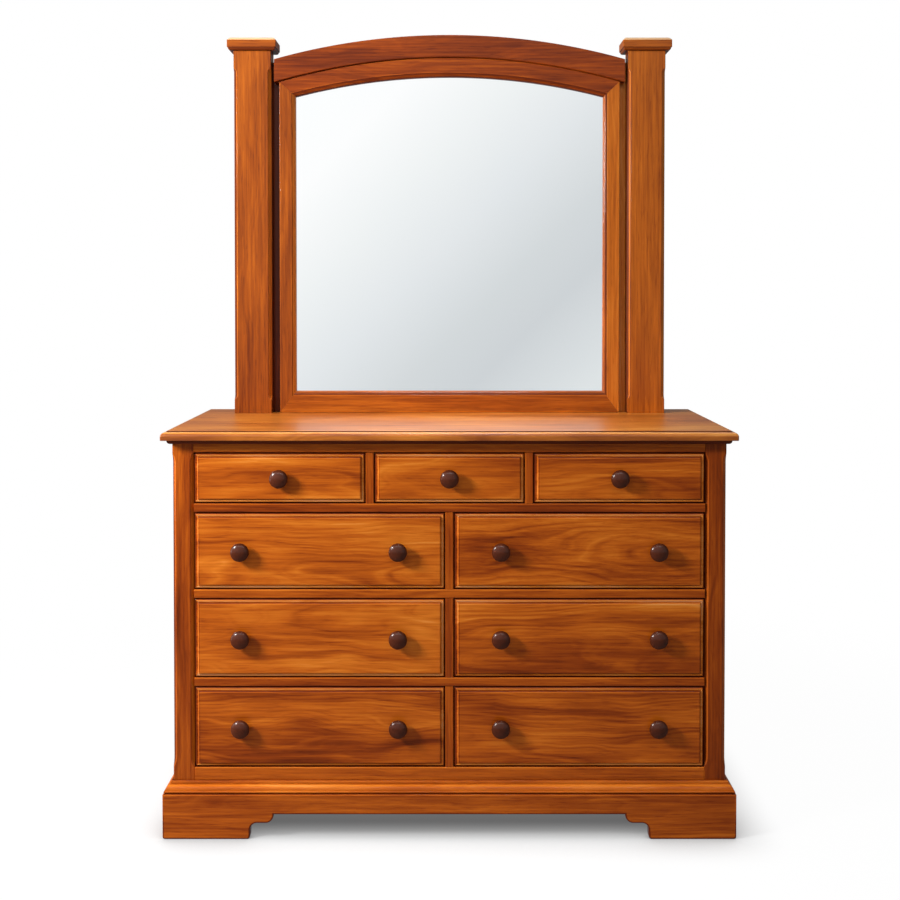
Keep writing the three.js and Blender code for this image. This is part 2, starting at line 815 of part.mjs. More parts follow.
// The mirror group's origin is on the dresser top, level with the posts' front faces
function mirrorGroup() {
  const group = new THREE.Group();
  group.position.set(0, postFront, topHeight);
  place(group, "left_post", mirrorPost(), wood(caseWood), -postCentre, 0, seat);
  place(group, "right_post", mirrorPost(), wood(caseWood), postCentre, 0, seat);
  const capFoot = postHeight + 2 * seat;
  place(group, "left_post_cap", postCap(), wood(caseWood), -postCentre, 0, capFoot);
  place(group, "right_post_cap", postCap(), wood(caseWood), postCentre, 0, capFoot);
  const frameFront = backingFront - seat - frameThickness;
  const members = frameMembers();
  place(group, "mirror_frame_left", members.leftStile, wood(caseWood), 0, frameFront, 0);
  place(group, "mirror_frame_right", members.rightStile, wood(caseWood), 0, frameFront, 0);
  place(group, "mirror_frame_top", members.topRail, wood(caseWood), 0, frameFront, 0);
  place(group, "mirror_frame_bottom", members.bottomRail, wood(caseWood), 0, frameFront, 0);
  const crownFront = backingFront - seat - crownThickness;
  place(group, "crown_rail", crownRail(), wood(caseWood), 0, crownFront, 0);
  const glassFront = frameFront + frameThickness - glassThickness;
  place(group, "mirror_glass", mirrorGlass(), mirrorFinish(), 0, glassFront, 0);
  place(group, "mirror_backing", mirrorBacking(), wood(darkWood), 0, backingFront, 0);
  return group;
}

const dresser = new THREE.Group();
dresser.add(caseGroup());
for (const row of rows) {
  for (const column of row.columns) {
    dresser.add(drawer(row, column));
  }
}
dresser.add(mirrorGroup());

export default dresser;
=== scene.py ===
"""A nine-drawer dresser with a fixed, arched mirror between two posts.

Places and sizes are in metres, with +X to the right, +Y to the back and +Z up. Each piece stands
where its CAD nodes stand, and its profile adds the detail that they leave out.
"""

import logging
import math
import random
from collections.abc import Sequence
from dataclasses import dataclass, field
from enum import Enum
from typing import Any

import bmesh
import bpy
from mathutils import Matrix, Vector


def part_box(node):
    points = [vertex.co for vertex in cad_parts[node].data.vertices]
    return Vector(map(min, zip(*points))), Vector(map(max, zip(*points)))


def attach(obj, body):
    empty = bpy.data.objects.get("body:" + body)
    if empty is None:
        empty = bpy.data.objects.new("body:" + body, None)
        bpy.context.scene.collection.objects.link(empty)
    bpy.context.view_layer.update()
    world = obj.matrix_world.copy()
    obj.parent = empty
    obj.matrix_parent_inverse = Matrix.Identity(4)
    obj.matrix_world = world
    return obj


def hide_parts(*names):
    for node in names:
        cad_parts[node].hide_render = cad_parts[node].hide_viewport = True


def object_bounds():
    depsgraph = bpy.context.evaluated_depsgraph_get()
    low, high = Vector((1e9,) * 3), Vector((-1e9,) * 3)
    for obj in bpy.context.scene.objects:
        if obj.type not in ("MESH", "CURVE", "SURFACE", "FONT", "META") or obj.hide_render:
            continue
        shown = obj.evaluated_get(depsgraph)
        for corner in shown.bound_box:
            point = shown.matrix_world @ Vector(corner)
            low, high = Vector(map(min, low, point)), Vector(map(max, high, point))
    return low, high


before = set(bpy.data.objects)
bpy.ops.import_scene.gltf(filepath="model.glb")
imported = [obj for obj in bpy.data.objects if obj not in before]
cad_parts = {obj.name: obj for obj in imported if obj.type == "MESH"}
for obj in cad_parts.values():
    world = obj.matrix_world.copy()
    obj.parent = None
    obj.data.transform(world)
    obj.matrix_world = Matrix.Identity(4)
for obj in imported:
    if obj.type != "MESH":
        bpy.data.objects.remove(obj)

CAD_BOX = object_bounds()
LOG = logging.getLogger("dresser")

Flat = tuple[float, float]
Spot = tuple[float, float, float]
Ring = Sequence[Sequence[float]]
Numbers = tuple[float, ...]
Colour = tuple[int, int, int]
Stops = tuple[tuple[float, Colour], ...]

# The glue line between two pieces
GLUE_LINE = 0.0003

# The bend in degrees from which an outline's corner is rounded
ROUNDED_BEND = 28.0

# The most that a rounded corner takes of an edge beside it
ROUNDED_SHARE = 0.45

# The angle in degrees from which an edge of a mesh shows sharp
SHARP_ANGLE = 38.0


# Outlines


def arc(centre: Flat, reach: Flat, start: float, end: float, steps: int = 8) -> list[Flat]:
    """Points of an elliptical arc.

    Args:
        centre: The middle of the ellipse.
        reach: Its half width and half height.
        start: The first angle in degrees.
        end: The last angle in degrees.
        steps: The number of stretches.

    Returns:
        The points in order, both ends included.
    """
    turns = [math.radians(start + (end - start) * step / steps) for step in range(steps + 1)]
    return [(centre[0] + reach[0] * math.cos(turn), centre[1] + reach[1] * math.sin(turn))
            for turn in turns]


def spin_of(outline: Sequence[Flat]) -> int:
    """1 for an outline that runs anticlockwise, -1 for one that runs clockwise."""
    pairs = zip(outline, [*outline[1:], outline[0]])
    return 1 if sum(a[0] * b[1] - b[0] * a[1] for a, b in pairs) > 0 else -1


def edges_at(outline: Sequence[Flat], at: int) -> tuple[Vector, Vector]:
    """The edges into and out of an outline's corner."""
    before, corner, after = (Vector(outline[(at + step) % len(outline)]) for step in (-1, 0, 1))
    return corner - before, after - corner


def eased(outline: Sequence[Flat], radius: float, steps: int = 3, sharp: int = 0) -> list[Flat]:
    """Rounds the outward corners of an outline.

    Args:
        outline: The corners in order.
        radius: The radius of the rounding, larger than any inset that follows.
        steps: The stretches in each rounded corner.
        sharp: The number of corners at the outline's end that stay sharp.

    Returns:
        The outline with its corners rounded.
    """
    spin = spin_of(outline)
    made: list[Flat] = []
    for at, corner in enumerate(outline):
        into, out = edges_at(outline, at)
        bend = spin * math.atan2(into.cross(out), into.dot(out))
        if bend < math.radians(ROUNDED_BEND) or at >= len(outline) - sharp:
            made.append(corner)
            continue
        cut = min(radius * math.tan(bend / 2), ROUNDED_SHARE * min(into.length, out.length))
        middle = Vector(corner)
        first, last = middle - into.normalized() * cut, middle + out.normalized() * cut
        for step in range(steps + 1):
            share = step / steps
            spot = first.lerp(middle, share).lerp(middle.lerp(last, share), share)
            made.append((spot.x, spot.y))
    return made


def inset(outline: Sequence[Flat], amount: float) -> list[Flat]:
    """Draws an outline in on every side.

    Args:
        outline: The corners in order.
        amount: The way in.

    Returns:
        The outline drawn in, with as many corners.
    """
    if not amount:
        return list(outline)
    spin = spin_of(outline)
    made: list[Flat] = []
    for at, corner in enumerate(outline):
        into, out = (edge.normalized() for edge in edges_at(outline, at))
        first, last = Vector((-into.y, into.x)) * spin, Vector((-out.y, out.x)) * spin
        spot = Vector(corner) + (first + last) / (1 + first.dot(last)) * amount
        made.append((spot.x, spot.y))
    return made


def oblong(low: Flat, high: Flat) -> list[Flat]:
    """The corners of a rectangle, anticlockwise."""
    return [low, (high[0], low[1]), high, (low[0], high[1])]


def eased_levels(low: float, high: float, ease: float) -> list[Flat]:
    """The insets and levels of rings that round both ends of a slab.

    Args:
        low: The level of the first end.
        high: The level of the last end.
        ease: The radius of the rounding.

    Returns:
        Pairs of an inset and a level, from the first end to the last one.
    """
    turns = [math.radians(angle) for angle in (0, 30, 60, 90)]
    ends = [(ease * (1 - math.sin(turn)), ease * (1 - math.cos(turn))) for turn in turns]
    lower = [(inwards, low + rise) for inwards, rise in ends]
    upper = [(inwards, high - rise) for inwards, rise in reversed(ends)]
    return lower + upper


def split(start: float, end: float, shares: Numbers) -> list[float]:
    """The places at some shares of the way from a start to an end."""
    return [start + (end - start) * share for share in shares]


# How wood lies in a piece


class Run(Enum):
    """The way a board's grain runs and its face looks, as the axes along, across and behind."""

    LEVEL_FACING_FRONT = (0, 2, 1)
    LEVEL_FACING_UP = (0, 1, 2)
    UPRIGHT_FACING_FRONT = (2, 0, 1)
    UPRIGHT_FACING_SIDE = (2, 1, 0)
    BACKWARD_FACING_SIDE = (1, 2, 0)
    BACKWARD_FACING_UP = (1, 0, 2)


class Figure(Enum):
    """How a board was sawn, as five numbers.

    They are the least and most that its heart lies behind its face, how far the heart lies aside,
    how much it leans, and how strongly the figure shows.
    """

    STRAIGHT = (0.17, 0.26, 0.22, 0.012, 0.55)
    CALM = (0.07, 0.13, 0.10, 0.022, 1.0)
    FLAME = (0.035, 0.05, 0.015, 0.075, 0.82)


@dataclass(frozen=True)
class Lie:
    """How one board's wood lies in its piece."""

    run: Run
    aside: float
    behind: float
    lean: float
    start: float
    tone: float
    vigour: float

    def at(self, spot: Sequence[float], middle: Sequence[float]) -> Spot:
        """Where a point of the piece lies in its log.

        Args:
            spot: The point, in the model.
            middle: The middle of the board, in the model.

        Returns:
            The places along the log, and across and behind from its heart.
        """
        along, across, behind = self.run.value
        way = spot[along] - middle[along]
        return (self.start + way, spot[across] - middle[across] - self.aside,
                spot[behind] - middle[behind] + self.behind + self.lean * way)


@dataclass
class LumberYard:
    """Deals boards whose figures differ, always in the same order."""

    seed: int = 1907
    least_aside: float = 0.25
    log_spacing: float = 2.37
    tone_spread: float = 0.05
    dealt: int = 0

    def __post_init__(self) -> None:
        """Starts with a fresh stack."""
        self.draw = random.Random(self.seed)

    def board(self, run: Run, figure: Figure = Figure.CALM, tone: float = 0.0,
              lean: float | None = None) -> Lie:
        """Deals one board.

        Args:
            run: The way its grain runs.
            figure: How it was sawn.
            tone: How much paler it is than the others, or darker if below zero.
            lean: The lean of its heart, or None for one dealt by chance.

        Returns:
            The board's lie.
        """
        self.dealt += 1
        nearest, furthest, most_aside, most_lean, vigour = figure.value
        aside = self.draw.uniform(self.least_aside, 1) * most_aside * self.draw.choice((-1, 1))
        dealt_lean = self.draw.uniform(-most_lean, most_lean)
        behind = self.draw.uniform(nearest, furthest)
        dealt_tone = self.draw.uniform(-self.tone_spread, self.tone_spread)
        return Lie(run, aside, behind, lean=dealt_lean if lean is None else lean,
                   start=self.log_spacing * self.dealt, tone=tone + dealt_tone, vigour=vigour)


class Facing(Enum):
    """The plane that a slab's outline is drawn in."""

    FRONT = "x and z"
    SIDE = "y and z"

    def spot(self, flat: Flat, level: float) -> Spot:
        """The place in the model of an outline's point at a level of the slab."""
        across, height = flat
        return (across, level, height) if self is Facing.FRONT else (level, across, height)


class Workpiece:
    """The closed bodies of one piece, with the way that the wood lies at each point."""

    # How much rounder the corners of a block are than its edges
    CORNER_GAIN = 1.8

    def __init__(self) -> None:
        """Starts with nothing made."""
        self.points: list[Sequence[float]] = []
        self.faces: list[list[int]] = []
        self.grain: list[Spot] = []
        self.tone: list[float] = []
        self.vigour: list[float] = []

    def add_rings(self, rings: Sequence[Ring], lie: Lie, ring_painted_light: Sequence[float] = (),
                  point_painted_light: Sequence[float] = (), spot_painted_light: Sequence[float] = ()) -> None:
        """Adds a closed body through matching rings of points.

        Args:
            rings: The rings in order, all with as many points.
            lie: The wood that the body is made of.
            ring_painted_light: How much paler each ring is than the board, or darker if below zero,
                as painted light and shade.
            point_painted_light: The same painted light and shade for each point of a ring.
            spot_painted_light: The same for each point of each ring in turn.
        """
        first, count = len(self.points), len(rings[0])
        spots = [spot for ring in rings for spot in ring]
        middle = [(min(axis) + max(axis)) / 2 for axis in zip(*spots)]
        self.points.extend(spots)
        self.grain.extend(lie.at(spot, middle) for spot in spots)
        # Each point's tone is its board's tone plus painted light and shade: highlights on arrises,
        # shade in gaps and quirks
        tones = [lie.tone + along + around for along in ring_painted_light or [0.0] * len(rings)
                 for around in point_painted_light or [0.0] * count]
        spot_painted_light = spot_painted_light or [0.0] * len(spots)
        self.tone.extend(tone + painted_tint for tone, painted_tint in zip(tones, spot_painted_light, strict=True))
        self.vigour.extend([lie.vigour] * len(spots))
        for ring in range(len(rings) - 1):
            low = first + ring * count
            for step in range(count):
                following = (step + 1) % count
                self.faces.append([low + step, low + following,
                                   low + count + following, low + count + step])
        last = first + (len(rings) - 1) * count
        self.faces.append(list(range(first, first + count))[::-1])
        self.faces.append(list(range(last, last + count)))

    def add_slab(self, outline: Sequence[Flat], facing: Facing, low: float, high: float,
                 lie: Lie, ease: float = 0.001) -> None:
        """Adds a flat board with rounded edges.

        Args:
            outline: Its outline, in the plane of its facing.
            facing: The plane of the outline.
            low: The level of one face.
            high: The level of the other face.
            lie: The wood that it is made of.
            ease: The radius of its edges.
        """
        rings = [[facing.spot(flat, level) for flat in inset(outline, inwards)]
                 for inwards, level in eased_levels(low, high, ease)]
        self.add_rings(rings, lie)

    def add_block(self, low: Spot, high: Spot, lie: Lie, ease: float = 0.001) -> None:
        """Adds a straight board between two corners, with rounded edges."""
        outline = eased(oblong((low[0], low[2]), (high[0], high[2])), self.CORNER_GAIN * ease)
        self.add_slab(outline, Facing.FRONT, low[1], high[1], lie, ease)

    def add_turning(self, profile: Sequence[Flat], centre: Spot, lie: Lie, sides: int) -> None:
        """Adds a body turned about a line that runs to the front.

        Args:
            profile: Pairs of a radius and a reach to the front.
            centre: The point on the line at reach zero.
            lie: The wood that it is made of.
            sides: The number of points round it.
        """
        turns = [2 * math.pi * step / sides for step in range(sides)]
        rings = [[(centre[0] + radius * math.cos(turn), centre[1] - reach,
                   centre[2] + radius * math.sin(turn)) for turn in turns]
                 for radius, reach in profile]
        self.add_rings(rings, lie)

    def make(self, name: str) -> bpy.types.Object:
        """Turns the bodies into one object.

        Args:
            name: The name of the piece.

        Returns:
            The object, in the scene's collection.
        """
        mesh = bpy.data.meshes.new(name)
        mesh.from_pydata(self.points, [], self.faces)
        shaped = bmesh.new()
        shaped.from_mesh(mesh)
        bmesh.ops.recalc_face_normals(shaped, faces=shaped.faces)
        shaped.to_mesh(mesh)
        shaped.free()
        grain = mesh.attributes.new("grain", "FLOAT_VECTOR", "POINT")
        grain.data.foreach_set("vector", [value for spot in self.grain for value in spot])
        for label, values in (("tone", self.tone), ("vigour", self.vigour)):
            mesh.attributes.new(label, "FLOAT", "POINT").data.foreach_set("value", values)
        mesh.shade_smooth()
        mesh.set_sharp_from_angle(angle=math.radians(SHARP_ANGLE))
        piece = bpy.data.objects.new(name, mesh)
        bpy.context.scene.collection.objects.link(piece)
        weighted = piece.modifiers.new("even shading", "WEIGHTED_NORMAL")
        weighted.keep_sharp = True
        return piece


# Shaders


class Reading:
    """A number under way in a shader, which takes part in arithmetic."""

    def __init__(self, bench: "ShaderBench", socket: bpy.types.NodeSocket | None) -> None:
        """Wraps a socket of a shader's tree."""
        self.bench = bench
        self.socket = socket

    def math(self, operation: str, *others: "Reading | float") -> "Reading":
        """Adds a Math node on this number and others."""
        values = dict(enumerate((self, *others)))
        return self.bench.add("ShaderNodeMath", {"operation": operation}, values)

    def __add__(self, other: "Reading | float") -> "Reading":
        """The sum."""
        return self.math("ADD", other)

    __radd__ = __add__

    def __mul__(self, other: "Reading | float") -> "Reading":
        """The product."""
        return self.math("MULTIPLY", other)

    __rmul__ = __mul__

    def __sub__(self, other: "Reading | float") -> "Reading":
        """The difference."""
        return self.math("SUBTRACT", other)

    def __rsub__(self, other: float) -> "Reading":
        """The difference, from a plain number."""
        return self * -1 + other

    def __pow__(self, other: "Reading | float") -> "Reading":
        """The power."""
        return self.math("POWER", other)

    def centred(self) -> "Reading":
        """A noise about zero in place of about a half."""
        return self - 0.5

    def ramp(self, low: float, high: float) -> "Reading":
        """A smooth step between two values.

        Args:
            low: The value up to which the step is 0.
            high: The value from which it is 1.

        Returns:
            The step.
        """
        settings = {"interpolation_type": "SMOOTHSTEP"}
        values = {"Value": self, "From Min": low, "From Max": high}
        return self.bench.add("ShaderNodeMapRange", settings, values)


class ShaderBench:
    """Builds the nodes of one material or world."""

    def __init__(self, owner: bpy.types.Material | bpy.types.World) -> None:
        """Clears the owner's tree.

        Args:
            owner: The material or world.
        """
        owner.use_nodes = True
        self.tree = owner.node_tree
        self.tree.nodes.clear()

    def add(self, kind: str, settings: dict[str, Any] | None = None,
            values: dict[str | int, Any] | None = None, output: str | int = 0) -> Reading:
        """Adds a node.

        Args:
            kind: The node's type.
            settings: Its settings, and the stops of a ramp.
            values: Plain values or readings for its sockets.
            output: The socket to read from.

        Returns:
            The reading of that socket.
        """
        node = self.tree.nodes.new(kind)
        for name, value in (settings or {}).items():
            if name == "stops":
                self.set_stops(node.color_ramp, value)
            else:
                setattr(node, name, value)
        for name, value in (values or {}).items():
            if isinstance(value, Reading):
                self.tree.links.new(value.socket, node.inputs[name])
            else:
                node.inputs[name].default_value = value
        return Reading(self, node.outputs[output] if node.outputs else None)

    def set_stops(self, ramp: bpy.types.ColorRamp, stops: Stops) -> None:
        """Sets the colours of a ramp.

        Args:
            ramp: The ramp.
            stops: Pairs of a place and the colour there.
        """
        while len(ramp.elements) < len(stops):
            ramp.elements.new(0.5)
        for element, (place, colour) in zip(ramp.elements, stops):
            element.position = place
            element.color = screen_colour(colour)

    def vector(self, x: Reading | float, y: Reading | float, z: Reading | float) -> Reading:
        """A vector from three numbers."""
        return self.add("ShaderNodeCombineXYZ", None, {"X": x, "Y": y, "Z": z})

    def stretched(self, vector: Reading, scale: Spot) -> Reading:
        """A vector times another."""
        return self.add("ShaderNodeVectorMath", {"operation": "MULTIPLY"}, {0: vector, 1: scale})

    def noise(self, vector: Reading, detail: float = 2.0, roughness: float = 0.5,
              output: int = 0) -> Reading:
        """Smooth noise at a place, as one number from output 0 or as a colour from output 1."""
        values = {"Vector": vector, "Scale": 1.0, "Detail": detail, "Roughness": roughness}
        return self.add("ShaderNodeTexNoise", None, values, output)

    def parts(self, vector: Reading) -> tuple[Reading, Reading, Reading]:
        """The three numbers of a vector.

        Args:
            vector: The vector.

        Returns:
            Its x, y and z.
        """
        split = self.add("ShaderNodeSeparateXYZ", None, {0: vector})
        outputs = split.socket.node.outputs
        return Reading(self, outputs[0]), Reading(self, outputs[1]), Reading(self, outputs[2])

    def blend(self, factor: Reading | float, first: Any, last: Any) -> Reading:
        """A colour between two others."""
        return self.add("ShaderNodeMix", {"data_type": "RGBA"}, {0: factor, 6: first, 7: last}, 2)

    def mix(self, factor: Reading | float, first: Reading, last: Reading) -> Reading:
        """A shader between two others."""
        return self.add("ShaderNodeMixShader", None, {0: factor, 1: first, 2: last})


def grey(value: float) -> tuple[float, float, float, float]:
    """A grey of a linear value."""
    return (value, value, value, 1.0)


def screen_colour(colour: Colour) -> tuple[float, float, float, float]:
    """The linear value of a colour that is written as it shows on a screen.

    Args:
        colour: Its red, green and blue, from 0 to 255.

    Returns:
        Its linear red, green and blue, and 1 for opaque.
    """
    shares = [value / 255 for value in colour]
    red, green, blue = (share / 12.92 if share <= 0.04045 else ((share + 0.055) / 1.055) ** 2.4
                        for share in shares)
    return (red, green, blue, 1.0)


@dataclass(frozen=True)
class WoodFinish:
    """A stained or bare wood under lacquer or wax.

    The first numbers say how strongly each mark shows. The rates say how often it repeats in a
    metre, along the log and across it, or across the rings and along the log.
    """

    name: str
    stops: Stops
    level: float
    bands: float
    lines: float
    streaks: float
    strokes: float
    mottle: float
    roughness: float
    coat: float
    shine: float
    relief: float
    # The pale colour that the highest tones blend to: a painted highlight on arrises, bevels and
    # cap tops
    painted_tint: Colour = (208, 140, 94)
    gloss: float = 0.12
    coat_index: float = 1.4
    warp_rate: Spot = (2.6, 9.0, 9.0)
    warp_reach: float = 0.075
    band_rate: Flat = (34.0, 1.1)
    band_roughness: float = 0.45
    line_rate: Flat = (170.0, 2.2)
    line_layer: float = 3.0
    streak_rate: Spot = (5.0, 170.0, 170.0)
    stroke_rate: Spot = (26.0, 420.0, 420.0)
    stroke_step: Flat = (0.56, 0.72)
    mottle_rate: Spot = (3.2, 11.0, 11.0)
    painted_tint_step: Flat = (0.8, 1.3)
    line_height: float = 0.6
    bump_strength: float = 0.6
    mottle_dulls: float = 0.18
    stroke_dulls: float = 0.1

    def rings(self, bench: ShaderBench, grain: Reading) -> tuple[Reading, Reading]:
        """Reads the growth rings about the log's heart.

        Args:
            bench: The material's bench.
            grain: The places along the log, and across and behind from its heart.

        Returns:
            The noise of the broad bands, and that of the fine lines.
        """
        along, across, behind = bench.parts(grain)
        warp = bench.noise(bench.stretched(grain, self.warp_rate), output=1)
        warp_across, warp_behind, _ = bench.parts(warp)
        across_heart = across + warp_across.centred() * self.warp_reach
        behind_heart = behind + warp_behind.centred() * self.warp_reach
        radius = (across_heart * across_heart + behind_heart * behind_heart) ** 0.5
        across_bands, along_bands = self.band_rate
        across_lines, along_lines = self.line_rate
        bands = bench.vector(radius * across_bands, along * along_bands, 0.0)
        lines = bench.vector(radius * across_lines, along * along_lines, self.line_layer)
        return bench.noise(bands, roughness=self.band_roughness), bench.noise(lines)

    def make(self) -> bpy.types.Material:
        """Builds the material from the grain that each piece carries.

        Returns:
            The material.
        """
        material = bpy.data.materials.new(self.name)
        bench = ShaderBench(material)
        grain = bench.add("ShaderNodeAttribute", {"attribute_name": "grain"}, None, "Vector")
        tone, vigour = (bench.add("ShaderNodeAttribute", {"attribute_name": label}, None, "Fac")
                        for label in ("tone", "vigour"))
        bands, lines = self.rings(bench, grain)
        streaks = bench.noise(bench.stretched(grain, self.streak_rate))
        pores = bench.noise(bench.stretched(grain, self.stroke_rate), detail=1.0)
        strokes = pores.ramp(*self.stroke_step)
        mottle = bench.noise(bench.stretched(grain, self.mottle_rate))
        figure = (bands.centred() * self.bands + lines.centred() * self.lines
                  + mottle.centred() * self.mottle)
        # The tone attribute carries each board's own tone plus the painted light and shade of its
        # edges
        value = (self.level + tone + figure * vigour + streaks.centred() * self.streaks
                 - strokes * self.strokes)
        stained = bench.add("ShaderNodeValToRGB", {"stops": self.stops}, {"Fac": value})
        # Above the ramp's top, the colour blends towards the pale colour of painted highlights
        colour = bench.blend(value.ramp(*self.painted_tint_step), stained, screen_colour(self.painted_tint))
        height = lines * self.line_height + streaks - strokes
        bump = bench.add("ShaderNodeBump", None, {
            "Height": height, "Strength": self.bump_strength, "Distance": self.relief})
        rough = (self.roughness + mottle.centred() * self.mottle_dulls
                 + strokes * self.stroke_dulls)
        shader = bench.add("ShaderNodeBsdfPrincipled", None, {
            "Base Color": colour, "Roughness": rough, "Normal": bump,
            "Specular IOR Level": self.shine, "Coat Weight": self.coat,
            "Coat Roughness": self.gloss, "Coat IOR": self.coat_index})
        bench.add("ShaderNodeOutputMaterial", None, {"Surface": shader})
        return material


@dataclass(frozen=True)
class MirrorFinish:
    """Silvered glass with the faintest haze."""

    name: str
    tint: Colour
    haze_rate: Spot = (4.0, 4.0, 4.0)
    haze_paler: float = 1.02
    haze_roughness: float = 0.03

    def make(self) -> bpy.types.Material:
        """Builds the material.

        Returns:
            The material.
        """
        material = bpy.data.materials.new(self.name)
        bench = ShaderBench(material)
        place = bench.add("ShaderNodeTexCoord", None, None, "Object")
        haze = bench.noise(bench.stretched(place, self.haze_rate), detail=3.0)
        tint = screen_colour(self.tint)
        paler = tuple(min(1.0, value * self.haze_paler) for value in tint)
        colour = bench.blend(haze, tint, paler)
        shader = bench.add("ShaderNodeBsdfPrincipled", None, {
            "Base Color": colour, "Metallic": 1.0, "Roughness": haze * self.haze_roughness})
        bench.add("ShaderNodeOutputMaterial", None, {"Surface": shader})
        return material


class Slot(Enum):
    """The record's material slots."""

    CASE = "case_wood"
    KNOB = "knob_wood"
    BOX = "box_wood"
    PANEL = "panel_wood"
    MIRROR = "mirror_glass"


CASE_STOPS: Stops = ((0.0, (98, 35, 7)), (0.25, (143, 60, 10)), (0.5, (187, 91, 18)),
                     (0.72, (211, 116, 31)), (1.0, (236, 154, 70)))

TOP_STOPS: Stops = ((0.0, (104, 42, 9)), (0.25, (146, 74, 16)), (0.5, (184, 104, 30)),
                    (0.72, (206, 132, 50)), (1.0, (230, 168, 94)))

POLISHED_TOP = WoodFinish("polished top wood", TOP_STOPS, level=0.49, bands=0.7, lines=0.6,
                          streaks=0.4, strokes=0.1, mottle=0.7, roughness=0.45, coat=0.85,
                          shine=0.1, relief=0.00003, gloss=0.33)

HONEY_STOPS: Stops = ((0.0, (98, 39, 9)), (0.25, (145, 68, 13)), (0.5, (189, 99, 23)),
                      (0.72, (213, 124, 38)), (1.0, (236, 158, 80)))

# Its very pale colour for painted highlights gives the bright band along the caps' bevels
HONEY_WOOD = WoodFinish("honey case wood", HONEY_STOPS, level=0.5, bands=0.55, lines=0.5,
                        streaks=0.5, strokes=0.1, mottle=0.6, roughness=0.34, coat=0.3,
                        shine=0.07, relief=0.00006, painted_tint=(255, 208, 158))

FINISHES: dict[Slot, WoodFinish | MirrorFinish] = {
    Slot.CASE: WoodFinish(
        "case wood", CASE_STOPS,
        level=0.5, bands=0.8, lines=0.7, streaks=0.5, strokes=0.1, mottle=0.8,
        roughness=0.34, coat=0.3, shine=0.07, relief=0.00008),
    Slot.KNOB: WoodFinish(
        "knob wood",
        ((0.0, (44, 15, 5)), (0.5, (75, 31, 13)), (1.0, (106, 49, 23))),
        level=0.5, bands=0.3, lines=0.3, streaks=0.3, strokes=0.1, mottle=0.4,
        roughness=0.4, coat=0.6, shine=0.06, relief=0.00008, gloss=0.2),
    Slot.BOX: WoodFinish(
        "box wood",
        ((0.0, (160, 112, 64)), (0.5, (203, 160, 105)), (1.0, (226, 190, 140))),
        level=0.5, bands=0.7, lines=0.5, streaks=0.5, strokes=0.25, mottle=0.3,
        roughness=0.55, coat=0.0, shine=0.3, relief=0.0005),
    Slot.PANEL: WoodFinish(
        "panel wood",
        ((0.0, (60, 28, 12)), (0.5, (112, 60, 28)), (1.0, (150, 90, 48))),
        level=0.5, bands=0.8, lines=0.6, streaks=0.6, strokes=0.25, mottle=0.5,
        roughness=0.5, coat=0.0, shine=0.25, relief=0.0005),
    Slot.MIRROR: MirrorFinish("mirror glass", (252, 254, 255)),
}


class Workshop:
    """Where pieces are made: the boards, the finishes and the fitting."""

    def __init__(self) -> None:
        """Stacks the boards and mixes the finishes."""
        self.yard = LumberYard()
        self.finishes = {slot: finish.make() for slot, finish in FINISHES.items()}
        self.polished_top = POLISHED_TOP.make()
        self.honey_wood = HONEY_WOOD.make()

    def fit(self, work: Workpiece, name: str, body: str, slot: Slot, *nodes: str,
            finish: bpy.types.Material | None = None) -> None:
        """Makes a piece, dresses it, ties it to its body and hides the CAD nodes that it stands
        for.

        Args:
            work: The bodies of the piece.
            name: The name of the piece.
            body: The body that it rides on.
            slot: The finish that it takes.
            nodes: The CAD nodes that it stands for.
            finish: A finish of its own, or None for its slot's.
        """
        piece = work.make(name)
        piece.data.materials.append(finish or self.finishes[slot])
        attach(piece, body)
        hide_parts(*nodes)
        LOG.info("%s on %s, %d faces", name, body, len(piece.data.polygons))


# Sub-assemblies


